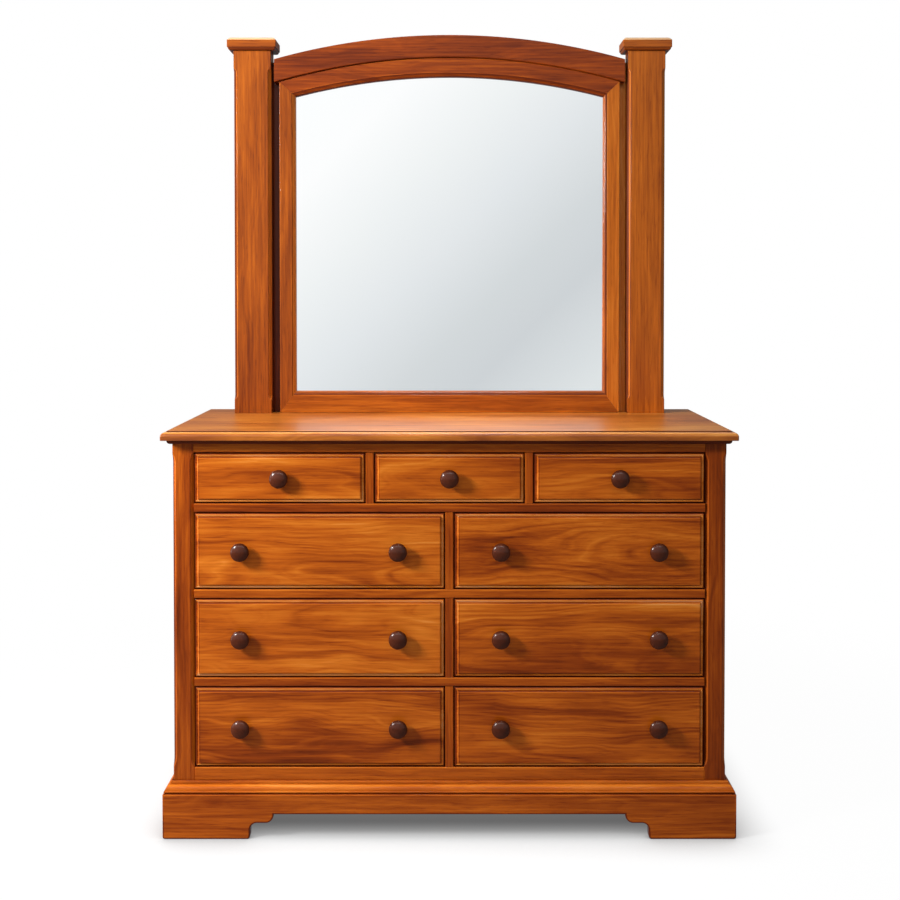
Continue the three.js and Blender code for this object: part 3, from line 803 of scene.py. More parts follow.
@dataclass(frozen=True)
class ChamferedUpright:
    """A post or stile whose two front edges have chamfers that stop short of its ends."""

    low: Spot
    high: Spot
    leg: float
    tongue: float
    chamfer_foot: float
    chamfer_head: float
    # How much paler the upright's lower half is, or darker if below zero
    lower_half_tone: float = 0.0
    # Painted light and shade on the section's points at the left and the right front edge: dark
    # lines at the chamfers' edges and a painted glint along each arris
    left_painted_light: Numbers = (-0.4, 0.07, 0.2, 0.25, 0.16, 0.05)
    right_painted_light: Numbers = (-0.15, -0.25, -0.1, 0.15, 0.3, 0.2, 0.1, -0.1, -0.3)
    ease: float = 0.0012
    arris: float = 0.0022
    facet_shares: Flat = (0.72, 0.28)
    tongue_steps: int = 8

    def section(self, depth: float) -> list[Flat]:
        """The outline across the upright at a level.

        Args:
            depth: The depth of its chamfers there.

        Returns:
            The points in order, from the left back corner round the front.
        """
        left, front, right, back = self.low[0], self.low[1], self.high[0], self.high[1]
        more, less = (depth * share for share in self.facet_shares)
        outline = [(left, back), (left, front + depth), (left + more, front + less),
                   (left + depth, front), (left + depth + self.arris, front),
                   (right - depth - self.arris, front), (right - depth, front),
                   (right - more, front + less), (right, front + depth), (right, back)]
        return eased(outline, self.ease)

    def shape(self, work: Workpiece, lie: Lie) -> None:
        """Adds the upright to a piece.

        Args:
            work: The piece.
            lie: The wood that it is made of.
        """
        shares = [step / self.tongue_steps for step in range(self.tongue_steps + 1)]
        depths = [max(self.ease, self.leg * math.sin(share * math.pi / 2)) for share in shares]
        rises = [share * self.tongue for share in shares]
        stations = [(self.low[2], self.ease)]
        stations += [(self.chamfer_foot + rise, depth) for rise, depth in zip(rises, depths)]
        stations += [(self.chamfer_head - rise, depth) for rise, depth in zip(rises, depths)][::-1]
        stations.append((self.high[2], self.ease))
        rings = [[(x, y, level) for x, y in self.section(depth)] for level, depth in stations]
        corner = [0.0] * 4
        outer, *facet = self.left_painted_light
        painted_light = [*corner, *[outer] * 4, *facet, 0.0, 0.0, *self.right_painted_light, *corner]
        half = len(stations) // 2
        work.add_rings(rings, lie, ring_painted_light=[self.lower_half_tone] * half + [0.0] * half,
                       point_painted_light=painted_light)


class Row(Enum):
    """The rows of drawers, from the top down."""

    TOP = "top"
    UPPER = "upper"
    MIDDLE = "middle"
    LOWER = "lower"

    def columns(self) -> tuple[str, ...]:
        """The names of the row's columns, from the left."""
        return ("left", "centre", "right") if self is Row.TOP else ("left", "right")


@dataclass
class Case:
    """The stiles, rails, dividers, panels and drawer carriers."""

    shop: Workshop
    reveal: float = 0.002
    stile_chamfer: float = 0.008
    stile_tongue: float = 0.024
    stile_tones: tuple[tuple[str, float], ...] = (("left", -0.26), ("right", -0.28))
    side_joints: Numbers = (0.0, 0.37, 0.7, 1.0)
    side_ease: float = 0.0004
    side_tone: float = -0.05
    back_boards: int = 9
    back_ease: float = 0.0018
    rail_depth: float = 0.040
    rail_round: float = 0.0025
    rail_land: float = 0.004
    # Painted shade along the rails' lower front edges over the drawer gaps, and a painted highlight
    # along their upper front edges
    rail_foot_painted_light: Numbers = (-0.05, -0.2, -0.4, -0.5)
    rail_head_painted_light: Numbers = (-0.5, -0.1, 0.25, 0.3)
    top_rail_tone: float = 0.08
    rail_tones: Numbers = (-0.34, -0.08, -0.22, -0.06)
    lowest_rail: float = 0.0705
    divider_width: float = 0.020
    divider_tone: float = -0.14
    carrier_joints: Numbers = (0.0, 0.3, 0.66, 1.0)
    carrier_thickness: float = 0.012
    carrier_ease: float = 0.0006
    guide_height: float = 0.030

    def __post_init__(self) -> None:
        """Reads the case's places from its CAD nodes."""
        self.stile_low, self.stile_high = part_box("right_stile")
        self.back_low, self.back_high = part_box("back_panel")
        self.front = self.stile_low.y
        self.opening_side = self.stile_low.x
        self.inside = self.back_high.x
        self.floors: dict[Row, float] = {}
        self.ceilings: dict[Row, float] = {}
        for row in Row:
            low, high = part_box(f"drawer_{row.value}_left_front")
            self.floors[row], self.ceilings[row] = low.z - self.reveal, high.z + self.reveal

    def build(self) -> None:
        """Makes every piece of the case."""
        self.build_stiles()
        self.build_panels()
        self.build_rails()
        for row in Row:
            self.build_dividers(row)
            self.build_carrier(row)

    def build_stiles(self) -> None:
        """Makes the two corner stiles."""
        for side, tone in self.stile_tones:
            low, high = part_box(f"{side}_stile")
            work = Workpiece()
            stile = ChamferedUpright(tuple(low), tuple(high), self.stile_chamfer,
                                     self.stile_tongue, self.floors[Row.LOWER],
                                     self.ceilings[Row.TOP])
            lie = self.shop.yard.board(Run.UPRIGHT_FACING_FRONT, Figure.STRAIGHT, tone)
            stile.shape(work, lie)
            self.shop.fit(work, f"stile_{side}", "carcase", Slot.CASE, f"{side}_stile")

    def build_panels(self) -> None:
        """Makes the case sides of glued boards, and the back of upright boards."""
        for side in ("left", "right"):
            low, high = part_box(f"{side}_side")
            work = Workpiece()
            joints = split(low.y, high.y, self.side_joints)
            for start, end in zip(joints, joints[1:]):
                lie = self.shop.yard.board(Run.UPRIGHT_FACING_SIDE, Figure.CALM, self.side_tone)
                work.add_block((low.x, start, low.z), (high.x, end, high.z), lie, self.side_ease)
            self.shop.fit(work, f"case_side_{side}", "carcase", Slot.CASE, f"{side}_side")
        work = Workpiece()
        width = (self.back_high.x - self.back_low.x) / self.back_boards
        for at in range(self.back_boards):
            left = self.back_low.x + at * width
            lie = self.shop.yard.board(Run.UPRIGHT_FACING_FRONT, Figure.CALM)
            work.add_block((left, self.back_low.y, self.back_low.z),
                           (left + width, self.back_high.y, self.back_high.z), lie,
                           self.back_ease)
        self.shop.fit(work, "back_boards", "carcase", Slot.PANEL, "back_panel")

    def build_rails(self) -> None:
        """Makes the top rail and the four rails under the rows."""
        low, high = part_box("top_rail")
        self.build_rail("rail_under_top", low.z, high.z, high.y, "top_rail", self.top_rail_tone)
        rows = list(Row)
        for row, below, tone in zip(rows, [*rows[1:], None], self.rail_tones):
            floor = self.floors[row]
            foot = self.ceilings[below] if below else floor - self.lowest_rail
            self.build_rail(f"rail_under_{row.value}_row", foot, floor,
                            self.front + self.rail_depth, f"{row.value}_drawer_frame", tone)

    def build_rail(self, name: str, foot: float, head: float, back: float, node: str,
                   tone: float) -> None:
        """Makes one rail, with its front edges rounded.

        Args:
            name: The name of the piece.
            foot: The height of its underside.
            head: The height of its upper side.
            back: The place of its back.
            node: The CAD node that it stands for.
            tone: How much paler or darker it is.
        """
        reach = self.opening_side - GLUE_LINE
        outline = [(self.front, foot), (back, foot), (back, head), (self.front, head),
                   (self.front, head - self.rail_land), (self.front, foot + self.rail_land)]
        section = eased(outline, self.rail_round)
        rings = [[(x, y, z) for y, z in section] for x in (-reach, reach)]
        behind, land = [0.0] * 8, [0.0] * 2
        painted_light = [*self.rail_foot_painted_light, *behind, *self.rail_head_painted_light, *land]
        work = Workpiece()
        lie = self.shop.yard.board(Run.LEVEL_FACING_FRONT, Figure.STRAIGHT, tone)
        work.add_rings(rings, lie, point_painted_light=painted_light)
        self.shop.fit(work, name, "carcase", Slot.CASE, node)

    def divider_places(self, row: Row) -> tuple[float, ...]:
        """The middles of a row's dividers.

        Args:
            row: The row.

        Returns:
            Their places across, from the left.
        """
        if row is not Row.TOP:
            return (0.0,)
        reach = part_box("drawer_top_centre_front")[1].x + self.reveal + self.divider_width / 2
        return (-reach, reach)

    def build_dividers(self, row: Row) -> None:
        """Makes the short uprights between a row's drawers.

        Args:
            row: The row.
        """
        half = self.divider_width / 2
        back = self.stile_high.y
        for at, x in enumerate(self.divider_places(row)):
            outline = [(x - half, back), (x - half, self.front), (x + half, self.front),
                       (x + half, back)]
            section = eased(outline, self.rail_round)
            levels = (self.floors[row], self.ceilings[row] - GLUE_LINE)
            rings = [[(x, y, z) for x, y in section] for z in levels]
            work = Workpiece()
            lie = self.shop.yard.board(Run.UPRIGHT_FACING_FRONT, Figure.STRAIGHT,
                                       self.divider_tone)
            work.add_rings(rings, lie)
            self.shop.fit(work, f"divider_{row.value}_{at + 1}", "carcase", Slot.CASE,
                          f"{row.value}_drawer_frame")

    def build_carrier(self, row: Row) -> None:
        """Makes the dust board under a row, with the guides on it.

        Args:
            row: The row.
        """
        floor = self.floors[row]
        start, end = self.front + self.rail_depth, self.back_low.y - GLUE_LINE
        work = Workpiece()
        joints = split(start, end, self.carrier_joints)
        for near, far in zip(joints, joints[1:]):
            lie = self.shop.yard.board(Run.LEVEL_FACING_UP)
            work.add_block((-self.inside, near, floor - self.carrier_thickness),
                           (self.inside, far, floor), lie, self.carrier_ease)
        half = self.divider_width / 2
        spans = [(-self.inside, -self.opening_side), (self.opening_side, self.inside)]
        spans += [(x - half, x + half) for x in self.divider_places(row)]
        for left, right in spans:
            lie = self.shop.yard.board(Run.BACKWARD_FACING_UP, Figure.STRAIGHT)
            work.add_block((left, start, floor), (right, end, floor + self.guide_height), lie)
        self.shop.fit(work, f"carrier_{row.value}_row", "carcase", Slot.BOX,
                      f"{row.value}_drawer_frame")


@dataclass
class Mouldings:
    """The bed moulding under the top and the base moulding on the plinth, mitred at the corners."""

    shop: Workshop
    bed_tone: float = -0.52
    base_tone: float = -0.04
    bed_flat: float = 0.003
    bed_reach: float = 0.008
    bed_rise: float = 0.009
    lip_flat: float = 0.003
    lip_round: float = 0.003
    lip_height: float = 0.0085
    quirk: float = 0.0012
    ovolo: float = 0.011
    bead_reach: float = 0.0025
    bead_height: float = 0.005

    def __post_init__(self) -> None:
        """Reads the case's outer faces from its CAD nodes."""
        self.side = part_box("right_side")[1].x
        self.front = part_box("right_stile")[0].y
        self.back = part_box("back_panel")[1].y

    def build(self) -> None:
        """Makes both mouldings."""
        self.build_round("bed_moulding", self.bed_profile(), self.bed_tone, [])
        self.build_round("base_moulding", self.base_profile(), self.base_tone, self.base_painted_light())

    def bed_profile(self) -> list[Flat]:
        """The bed moulding's section, a quarter round between two fillets.

        Returns:
            Pairs of the reach out from the case and the height.
        """
        low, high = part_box("bed_moulding")
        foot, head = low.z, high.z
        quarter = arc((self.bed_flat, foot + self.bed_rise), (self.bed_reach, self.bed_rise),
                      -90, 0)
        return [(GLUE_LINE, foot), (self.bed_flat, foot), *quarter,
                (self.bed_flat + self.bed_reach, head), (GLUE_LINE, head)]

    def base_profile(self) -> list[Flat]:
        """The base moulding's section: a bead, a wide ovolo, a quirk and a lip.

        Returns:
            Pairs of the reach out from the case and the height.
        """
        low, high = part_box("base_moulding")
        foot, head = low.z, high.z
        lip_reach = self.lip_flat + self.lip_round
        bead_face = lip_reach + self.ovolo
        lip_foot = head - self.lip_height
        ovolo_foot = lip_foot - self.ovolo
        bead = arc((bead_face, ovolo_foot - self.bead_height / 2),
                   (self.bead_reach, self.bead_height / 2), -90, 90, 8)
        ovolo = arc((lip_reach, ovolo_foot), (self.ovolo, self.ovolo), 0, 90, 10)
        quirk = [(lip_reach - self.quirk, lip_foot),
                 (lip_reach - self.quirk, lip_foot + self.quirk),
                 (lip_reach, lip_foot + self.quirk)]
        lip = arc((self.lip_flat, head - self.lip_round), (self.lip_round, self.lip_round), 0, 90)
        return [(GLUE_LINE, foot), (bead_face, foot), *bead, *ovolo, *quirk, *lip,
                (GLUE_LINE, head)]

    def base_painted_light(self) -> list[float]:
        """How much paler or darker each point of the base moulding's section is: painted shade
        along its foot, under its bead and at the top of its lip, and a painted highlight along the
        ovolo.

        Returns:
            The painted light and shade in the order of the section's points.
        """
        foot, head = [-0.3, -0.3], [-0.4]
        bead = [-0.2, -0.1, 0.05, *[0.0] * 6]
        ovolo = [*[0.0] * 5, 0.1, 0.2, 0.27, 0.22, 0.15, 0.05]
        quirk = [0.1, 0.0, 0.1]
        lip = [*[0.0] * 5, -0.15, -0.3, -0.4, -0.4]
        return [*foot, *bead, *ovolo, *quirk, *lip, *head]

    def build_round(self, node: str, profile: list[Flat], tone: float,
                    painted_light: list[float]) -> None:
        """Makes a moulding's front length and its two returns.

        Args:
            node: The CAD node that they stand for.
            profile: Pairs of the reach out from the case and the height.
            tone: How much paler or darker the moulding is.
            painted_light: The painted light and shade on each point of the profile.
        """
        yard = self.shop.yard
        left, right = ([(side * (self.side + reach), self.front - reach, height)
                        for reach, height in profile] for side in (-1, 1))
        front = Workpiece()
        lie = yard.board(Run.LEVEL_FACING_FRONT, Figure.STRAIGHT, tone)
        front.add_rings([left, right], lie, point_painted_light=painted_light)
        self.shop.fit(front, f"{node}_front", "carcase", Slot.CASE, node)
        for name, near in (("left", left), ("right", right)):
            far = [(x, self.back, z) for x, _, z in near]
            work = Workpiece()
            lie = yard.board(Run.BACKWARD_FACING_SIDE, Figure.STRAIGHT, tone)
            work.add_rings([near, far], lie, point_painted_light=painted_light)
            self.shop.fit(work, f"{node}_{name}", "carcase", Slot.CASE, node)


@dataclass
class Top:
    """The dresser's wide top, moulded on its front and both ends."""

    shop: Workshop
    nose_flat: float = 0.0098
    nose_reach: float = 0.011
    nose_rise: float = 0.0098
    quirk_lip: float = 0.0002
    quirk_width: float = 0.003
    quirk_sink: float = 0.0012
    overhang: float = 0.0016
    arris_drop: float = 0.0006
    arris_run: float = 0.0004
    ease: float = 0.0016
    corner: float = 0.003
    # Painted light and shade on each ring of the edge: shade on the underside and the lower nose, a
    # painted highlight line along the top of the nose, a painted dark line in the quirk, and the
    # field set a little darker
    foot_painted_light: Numbers = (-0.35, -0.3, -0.24, -0.2)
    nose_painted_light: Numbers = (-0.2, -0.2, -0.22, -0.24, -0.22, -0.1, 0.1, 0.34, 0.44, 0.44, 0.3)
    quirk_painted_light: Numbers = (-0.85, -0.95, -0.95)
    field_painted_light: float = -0.1
    # Painted light and shade along the edge: paler at the left and right ends, darker in the middle
    # of the front where the lamps' highlight is strongest
    left_end_painted_light: float = 0.2
    front_painted_patches: tuple[Flat, ...] = ((0.25, -0.13), (0.5, -0.19), (0.76, 0.0))
    right_end_painted_light: float = 0.5

    def build(self) -> None:
        """Makes the top."""
        low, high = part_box("dresser_top")
        rings = []
        for inwards, level in self.edge(high.z - low.z):
            left, front, right = low.x + inwards, low.y + inwards, high.x - inwards
            outline = eased([(left, high.y), (left, front), (right, front), (right, high.y)],
                            self.corner)
            half = len(outline) // 2
            length = high.x - low.x - 2 * inwards
            outline[half:half] = [(left + length * share, front)
                                  for share, _ in self.front_painted_patches]
            rings.append([(x, y, low.z + level) for x, y in outline])
        painted_light = [*self.foot_painted_light, *self.nose_painted_light, *self.quirk_painted_light, self.field_painted_light]
        work = Workpiece()
        lie = self.shop.yard.board(Run.LEVEL_FACING_UP, Figure.CALM)
        work.add_rings(rings, lie, ring_painted_light=painted_light, spot_painted_light=self.painted_patches())
        self.shop.fit(work, "top_board", "carcase", Slot.CASE, "dresser_top",
                      finish=self.shop.polished_top)

    def edge(self, rise: float) -> list[Flat]:
        """The moulded edge, from the underside round the nose to the field.

        Args:
            rise: The thickness of the top.

        Returns:
            Pairs of the way in from the top's widest line and the height.
        """
        foot = eased_levels(0.0, rise, self.ease)[:4]
        nose = arc((self.nose_reach, self.nose_flat), (self.nose_reach, self.nose_rise),
                   180, 90, 10)
        sunk = self.nose_flat + self.nose_rise - self.quirk_sink
        wall = self.nose_reach + self.quirk_width
        quirk = [(self.nose_reach + self.quirk_lip, sunk), (wall, sunk),
                 (wall - self.overhang, rise - self.arris_drop)]
        return [*foot, *nose, *quirk, (wall - self.overhang + self.arris_run, rise)]

    def painted_patches(self) -> list[float]:
        """How much paler or darker the edge is from place to place round the top, as painted light
        and shade.

        Returns:
            The painted light and shade of each point of each ring in turn.
        """
        back = [0.0] * 4
        front = [patch for _, patch in self.front_painted_patches]
        round_top = [*back, *[self.left_end_painted_light] * 4, *front, *[self.right_end_painted_light] * 4, *back]
        # How much of the painted light and shade shows on each ring of the foot, the nose, the
        # quirk and the field
        shares = [*[0.2] * 4, 0.35, 0.5, 0.75, *[1.0] * 8, *[0.0] * 3, 0.3]
        return [share * patch for share in shares for patch in round_top]


@dataclass
class Plinth:
    """The plinth's front and side boards with their bracket feet."""

    shop: Workshop
    front_foot: float = 0.210
    side_foot: float = 0.110
    ankle_lean: float = 0.001
    ankle_height: float = 0.024
    lower_run: float = 0.017
    lower_rise: float = 0.015
    shelf_run: float = 0.021
    upper_run: float = 0.019
    upper_rise: float = 0.021
    corner: float = 0.0068
    ease: float = 0.002
    # Painted shade as a dark outline round the front board's face, in a band this wide, then a
    # painted highlight along its top edge and painted shade on the top behind it
    edge_band: float = 0.0024
    edge_painted_shade: float = -0.42
    head_painted_light: Numbers = (0.0, 0.2, 0.1, -0.1)
    back_painted_shade: float = -0.3
    front_tone: float = -0.11
    side_tone: float = -0.04

    def __post_init__(self) -> None:
        """Reads the front board's places from its CAD node."""
        self.low, self.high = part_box("plinth_front")

    def bracket(self, edge: float, towards: int) -> list[Flat]:
        """The inner edge of a foot, from the floor up to the apron.

        Args:
            edge: The place of the foot's inner edge at the floor.
            towards: 1 if the open space lies at larger values, otherwise -1.

        Returns:
            The points in order.
        """
        ankle = edge + towards * self.ankle_lean
        shelf_start = ankle + towards * self.lower_run
        shelf_end = shelf_start + towards * self.shelf_run
        apron = self.ankle_height + self.lower_rise + self.upper_rise
        lower = arc((shelf_start, self.ankle_height), (towards * self.lower_run, self.lower_rise),
                    180, 90, 9)
        upper = arc((shelf_end, apron), (towards * self.upper_run, self.upper_rise), -90, 0, 9)
        return [(edge, 0.0), *lower, *upper]

    def outline(self, start: float, end: float, foot: float, head: float) -> list[Flat]:
        """The outline of a board with a foot at each end.

        Args:
            start: The place of its first end.
            end: The place of its last end.
            foot: The width of a foot.
            head: The height of the board.

        Returns:
            The points in order, the two upper corners last.
        """
        left = self.bracket(start + foot, 1)
        right = self.bracket(end - foot, -1)[::-1]
        corners = [(start, 0.0), *left, *right, (end, 0.0), (end, head), (start, head)]
        return eased(corners, self.corner, sharp=2)

    def build(self) -> None:
        """Makes the three boards."""
        self.build_front()
        for name, side in (("left", -1), ("right", 1)):
            self.build_side(name, side)

    def build_front(self) -> None:
        """Makes the front board, mitred at both ends."""
        low, high = self.low, self.high
        outline = self.outline(low.x, high.x, self.front_foot, high.z)
        levels = [(self.ease + self.edge_band, low.y), *eased_levels(low.y, high.y, self.ease)]
        rings = []
        for inwards, level in levels:
            reach = max(inwards, level - low.y)
            rings.append([(min(max(x, low.x + reach), high.x - reach), level, z)
                          for x, z in inset(outline, inwards)])
        edge_painted_shade = [0.0, *[self.edge_painted_shade] * (len(levels) - 1)]
        head_painted_light = [*self.head_painted_light, *[self.back_painted_shade] * (len(levels) - len(self.head_painted_light))]
        painted_light = []
        for edge, head in zip(edge_painted_shade, head_painted_light):
            painted_light += [*[edge] * (len(outline) - 2), head, head]
        work = Workpiece()
        lie = self.shop.yard.board(Run.LEVEL_FACING_FRONT, Figure.STRAIGHT, self.front_tone)
        work.add_rings(rings, lie, spot_painted_light=painted_light)
        self.shop.fit(work, "plinth_board_front", "carcase", Slot.CASE, "plinth_front")

    def build_side(self, name: str, side: int) -> None:
        """Makes one side board, mitred at its front end.

        Args:
            name: left or right.
            side: -1 or 1.
        """
        low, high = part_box(f"plinth_{name}")
        front = self.low.y
        outline = self.outline(front, high.y, self.side_foot, high.z)
        outer, inner = (low.x, high.x) if side < 0 else (high.x, low.x)
        rings = []
        for inwards, depth in eased_levels(0.0, abs(outer - inner), self.ease):
            reach = max(inwards, depth)
            rings.append([(outer - side * depth, max(y, front + reach), z)
                          for y, z in inset(outline, inwards)])
        work = Workpiece()
        lie = self.shop.yard.board(Run.BACKWARD_FACING_SIDE, Figure.CALM, self.side_tone)
        work.add_rings(rings, lie)
        self.shop.fit(work, f"plinth_board_{name}", "carcase", Slot.CASE, f"plinth_{name}")


@dataclass(frozen=True)
class KnobShape:
    """A turned knob: a tenon, a base, a thin neck, a collar and a domed head."""

    tenon_radius: float = 0.004
    tenon_length: float = 0.0114
    pip_radius: float = 0.0004
    ease: float = 0.0006
    base_radius: float = 0.011
    base_round: Flat = (0.0008, 0.0009)
    base_height: float = 0.0014
    neck_radius: float = 0.0085
    hollow: Flat = (0.0016, 0.0024)
    hollow_height: float = 0.0046
    collar: Flat = (0.001, 0.0016)
    collar_height: float = 0.0066
    head_foot: float = 0.0084
    rim_height: float = 0.0125
    sides: int = 48

    def profile(self, radius: float, reach: float) -> list[Flat]:
        """The knob's outline, from the end of its tenon to the top of its dome.

        Args:
            radius: The radius of the head.
            reach: The height of the dome above the drawer's face.

        Returns:
            Pairs of a radius and a height above the drawer's face.
        """
        tenon = [(self.pip_radius, -self.tenon_length),
                 (self.tenon_radius - self.ease, -self.tenon_length),
                 (self.tenon_radius, self.ease - self.tenon_length), (self.tenon_radius, 0.0)]
        base = [(self.base_radius - self.ease, 0.0), (self.base_radius, self.ease),
                *arc((self.base_radius - self.base_round[0], self.base_height),
                     self.base_round, 0, 90, 3)]
        neck = arc((self.neck_radius + self.hollow[0], self.hollow_height), self.hollow,
                   270, 180, 4)
        collar = arc((self.neck_radius + self.collar[0], self.collar_height), self.collar,
                     180, 90, 3)
        under = arc((self.neck_radius + self.collar[0], self.rim_height),
                    (radius - self.neck_radius - self.collar[0],
                     self.rim_height - self.head_foot), 270, 360, 8)
        dome = arc((0.0, self.rim_height), (radius, reach - self.rim_height), 4, 89, 14)
        return [*tenon, *base, *neck, *collar, *under, *dome]


@dataclass
class Drawers:
    """The nine drawers: moulded fronts, dovetailed boxes and turned knobs."""

    shop: Workshop
    front_round: float = 0.005
    back_ease: float = 0.0006
    quirk_width: float = 0.0006
    ledge_width: float = 0.003
    ledge_sink: float = 0.0009
    hollow_width: float = 0.004
    field_rise: float = 0.004
    field_ease: float = 0.0012
    corner: float = 0.0014
    box_wall: float = 0.012
    box_bottom: float = 0.008
    box_ease: float = 0.0004
    end_ease: float = 0.0006
    pin_ease: float = 0.0003
    tail_pitch: float = 0.034
    fewest_tails: int = 2
    slot_halves: Flat = (0.0026, 0.0046)
    pin_halves: Flat = (0.0024, 0.0044)
    knob: KnobShape = KnobShape()
    flamed: str = "upper_right"
    flame_lean: float = -0.075
    slack: float = 1e-6

    # How much paler or darker each front is than the case, partly each front's own tone and partly
    # painted light: the left fronts are set paler than the right ones
    tones: dict[str, float] = field(default_factory=lambda: {
        "top_left": 0.0, "top_centre": 0.05, "top_right": -0.08,
        "upper_left": 0.05, "upper_right": -0.05, "middle_left": 0.05, "middle_right": -0.04,
        "lower_left": -0.12, "lower_right": -0.11})

    # The same for the upper and the lower edge of a front
    fades: dict[str, Flat] = field(default_factory=lambda: {
        "top_left": (-0.12, 0.05), "upper_right": (0.0, 0.05), "middle_right": (0.22, -0.25),
        "lower_left": (0.0, -0.12)})

    # Painted light and shade on each ring of a front, on its left, lower, right and upper side:
    # painted shade in the gap round the front and in the quirk, painted highlights along the
    # round-over and the hollow
    side_painted_light: tuple[Numbers, ...] = (
        (-0.6, -0.9, -0.9, -0.85, -0.75, -0.65, -0.5, -0.3, -0.1, 0.1, 0.38,
         0.35, 0.3, 0.2, 0.1, 0.0, -0.15, -0.3, 0.0),
        (-0.6, -0.5, -0.5, -0.5, -0.4, -0.15, 0.25, 0.5, 0.6, 0.45, 0.05,
         -0.1, -0.05, 0.0, 0.05, 0.05, 0.05, 0.0, 0.0),
        (-0.6, -0.6, -0.6, -0.6, -0.5, -0.25, 0.1, 0.35, 0.6, 0.5, 0.0,
         -0.1, -0.1, -0.1, -0.05, 0.0, 0.05, 0.0, 0.0),
        (-0.6, -0.6, -1.0, -1.0, -0.8, -0.55, -0.05, 0.25, 0.65, 0.75, 0.05,
         -0.45, -0.5, -0.5, -0.4, -0.15, 0.1, 0.12, 0.0))

    def build(self) -> None:
        """Makes every drawer."""
        for row in Row:
            for column in row.columns():
                name = f"{row.value}_{column}"
                self.build_front(name)
                self.build_box(name)
                knobs = ("knob",) if row is Row.TOP else ("knob_left", "knob_right")
                for place in knobs:
                    self.build_knob(name, place)

    def front_edge(self, low: Vector, high: Vector) -> list[Flat]:
        """The moulded edge of a drawer's front, from its back to its field.

        Args:
            low: The lowest corner of the front.
            high: The highest corner of the front.

        Returns:
            Pairs of the way in from the front's outline and the place in depth.
        """
        ledge = low.y + self.field_rise
        sunk = ledge + self.ledge_sink
        back = [(self.back_ease, high.y), (0.0, high.y - self.back_ease)]
        outer = arc((self.front_round, ledge + self.front_round),
                    (self.front_round, self.front_round), 180, 270, 6)
        hollow_start = self.front_round + self.ledge_width
        hollow_end = hollow_start + self.hollow_width
        quirk = [(self.front_round + self.quirk_width, sunk), (hollow_start, sunk)]
        hollow = arc((hollow_end, ledge), (self.hollow_width, self.field_rise), 180, 270, 6)
        return [*back, *outer, *quirk, *hollow, (hollow_end + self.field_ease, low.y)]

    def front_painted_light(self, name: str) -> list[float]:
        """How much paler or darker each point of a drawer front's rings is, as painted light and
        shade.

        Args:
            name: The row and column of the drawer.

        Returns:
            The painted light and shade of every ring's points in order, from the lower left corner
            anticlockwise.
        """
        left, below, right, above = self.side_painted_light
        upper, lower = self.fades.get(name, (0.0, 0.0))
        painted_light = []
        for ring in range(len(left)):
            west, south, east, north = left[ring], below[ring], right[ring], above[ring]
            corners = ((west, south, lower), (south, east, lower), (east, north, upper),
                       (north, west, upper))
            painted_light += [side + fade for into, out, fade in corners for side in (into, into, out, out)]
        return painted_light

    def build_front(self, name: str) -> None:
        """Makes one drawer's front.

        Args:
            name: The row and column of the drawer.
        """
        node = f"drawer_{name}_front"
        low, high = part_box(node)
        rings = []
        for inwards, level in self.front_edge(low, high):
            outline = oblong((low.x + inwards, low.z + inwards),
                             (high.x - inwards, high.z - inwards))
            rings.append([(x, level, z) for x, z in eased(outline, self.corner)])
        figure, lean = Figure.CALM, None
        if name == self.flamed:
            figure, lean = Figure.FLAME, self.flame_lean
        lie = self.shop.yard.board(Run.LEVEL_FACING_FRONT, figure, self.tones[name], lean)
        work = Workpiece()
        work.add_rings(rings, lie, spot_painted_light=self.front_painted_light(name))
        self.shop.fit(work, f"front_{name}", f"drawer_{name}", Slot.CASE, node)

    def build_box(self, name: str) -> None:
        """Makes one drawer's box: two sides with tails, a front and a back with pins, a bottom.

        Args:
            name: The row and column of the drawer.
        """
        node = f"drawer_{name}_box"
        low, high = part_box(node)
        wall, yard = self.box_wall, self.shop.yard
        work = Workpiece()
        tails = max(self.fewest_tails, round((high.z - low.z) / self.tail_pitch))
        pitch = (high.z - low.z) / tails
        slots = [low.z + pitch * at for at in range(tails + 1)]
        outline = self.side_outline(low, high, slots)
        for left in (low.x, high.x - wall):
            lie = yard.board(Run.BACKWARD_FACING_SIDE)
            work.add_slab(outline, Facing.SIDE, left, left + wall, lie, self.box_ease)
        for near, far, mouth in ((low.y, low.y + wall, low.y), (high.y - wall, high.y, high.y)):
            lie = yard.board(Run.LEVEL_FACING_FRONT)
            work.add_block((low.x + wall, near, low.z), (high.x - wall, far, high.z), lie,
                           self.end_ease)
            root = near + far - mouth
            for slot in slots:
                for left in (low.x, high.x - wall):
                    self.add_pin(work, slot, mouth, root, left, (low.z, high.z), lie)
        lie = yard.board(Run.LEVEL_FACING_UP, Figure.STRAIGHT)
        work.add_block((low.x + wall, low.y + wall, low.z),
                       (high.x - wall, high.y - wall, low.z + self.box_bottom), lie,
                       self.box_ease)
        self.shop.fit(work, f"box_{name}", f"drawer_{name}", Slot.BOX, node)

    def side_outline(self, low: Vector, high: Vector, slots: list[float]) -> list[Flat]:
        """The outline of a box side, with slots between its tails at both ends.

        Args:
            low: The lowest corner of the box.
            high: The highest corner of the box.
            slots: The heights of the slots' middles.

        Returns:
            The points in order.
        """
        wall = self.box_wall
        narrow, wide = self.slot_halves
        lowest, highest = low.z - self.slack, high.z + self.slack
        near, far = [], []
        for slot in slots:
            ends = [(low.y, slot - narrow), (low.y + wall, slot - wide),
                    (low.y + wall, slot + wide), (low.y, slot + narrow)]
            kept = [end for end in ends if lowest <= end[1] <= highest]
            if slot == slots[0]:
                kept = [(low.y + wall, low.z), *kept]
            if slot == slots[-1]:
                kept = [*kept, (low.y + wall, high.z)]
            near += kept
            far += [(low.y + high.y - y, z) for y, z in kept]
        return far + near[::-1]

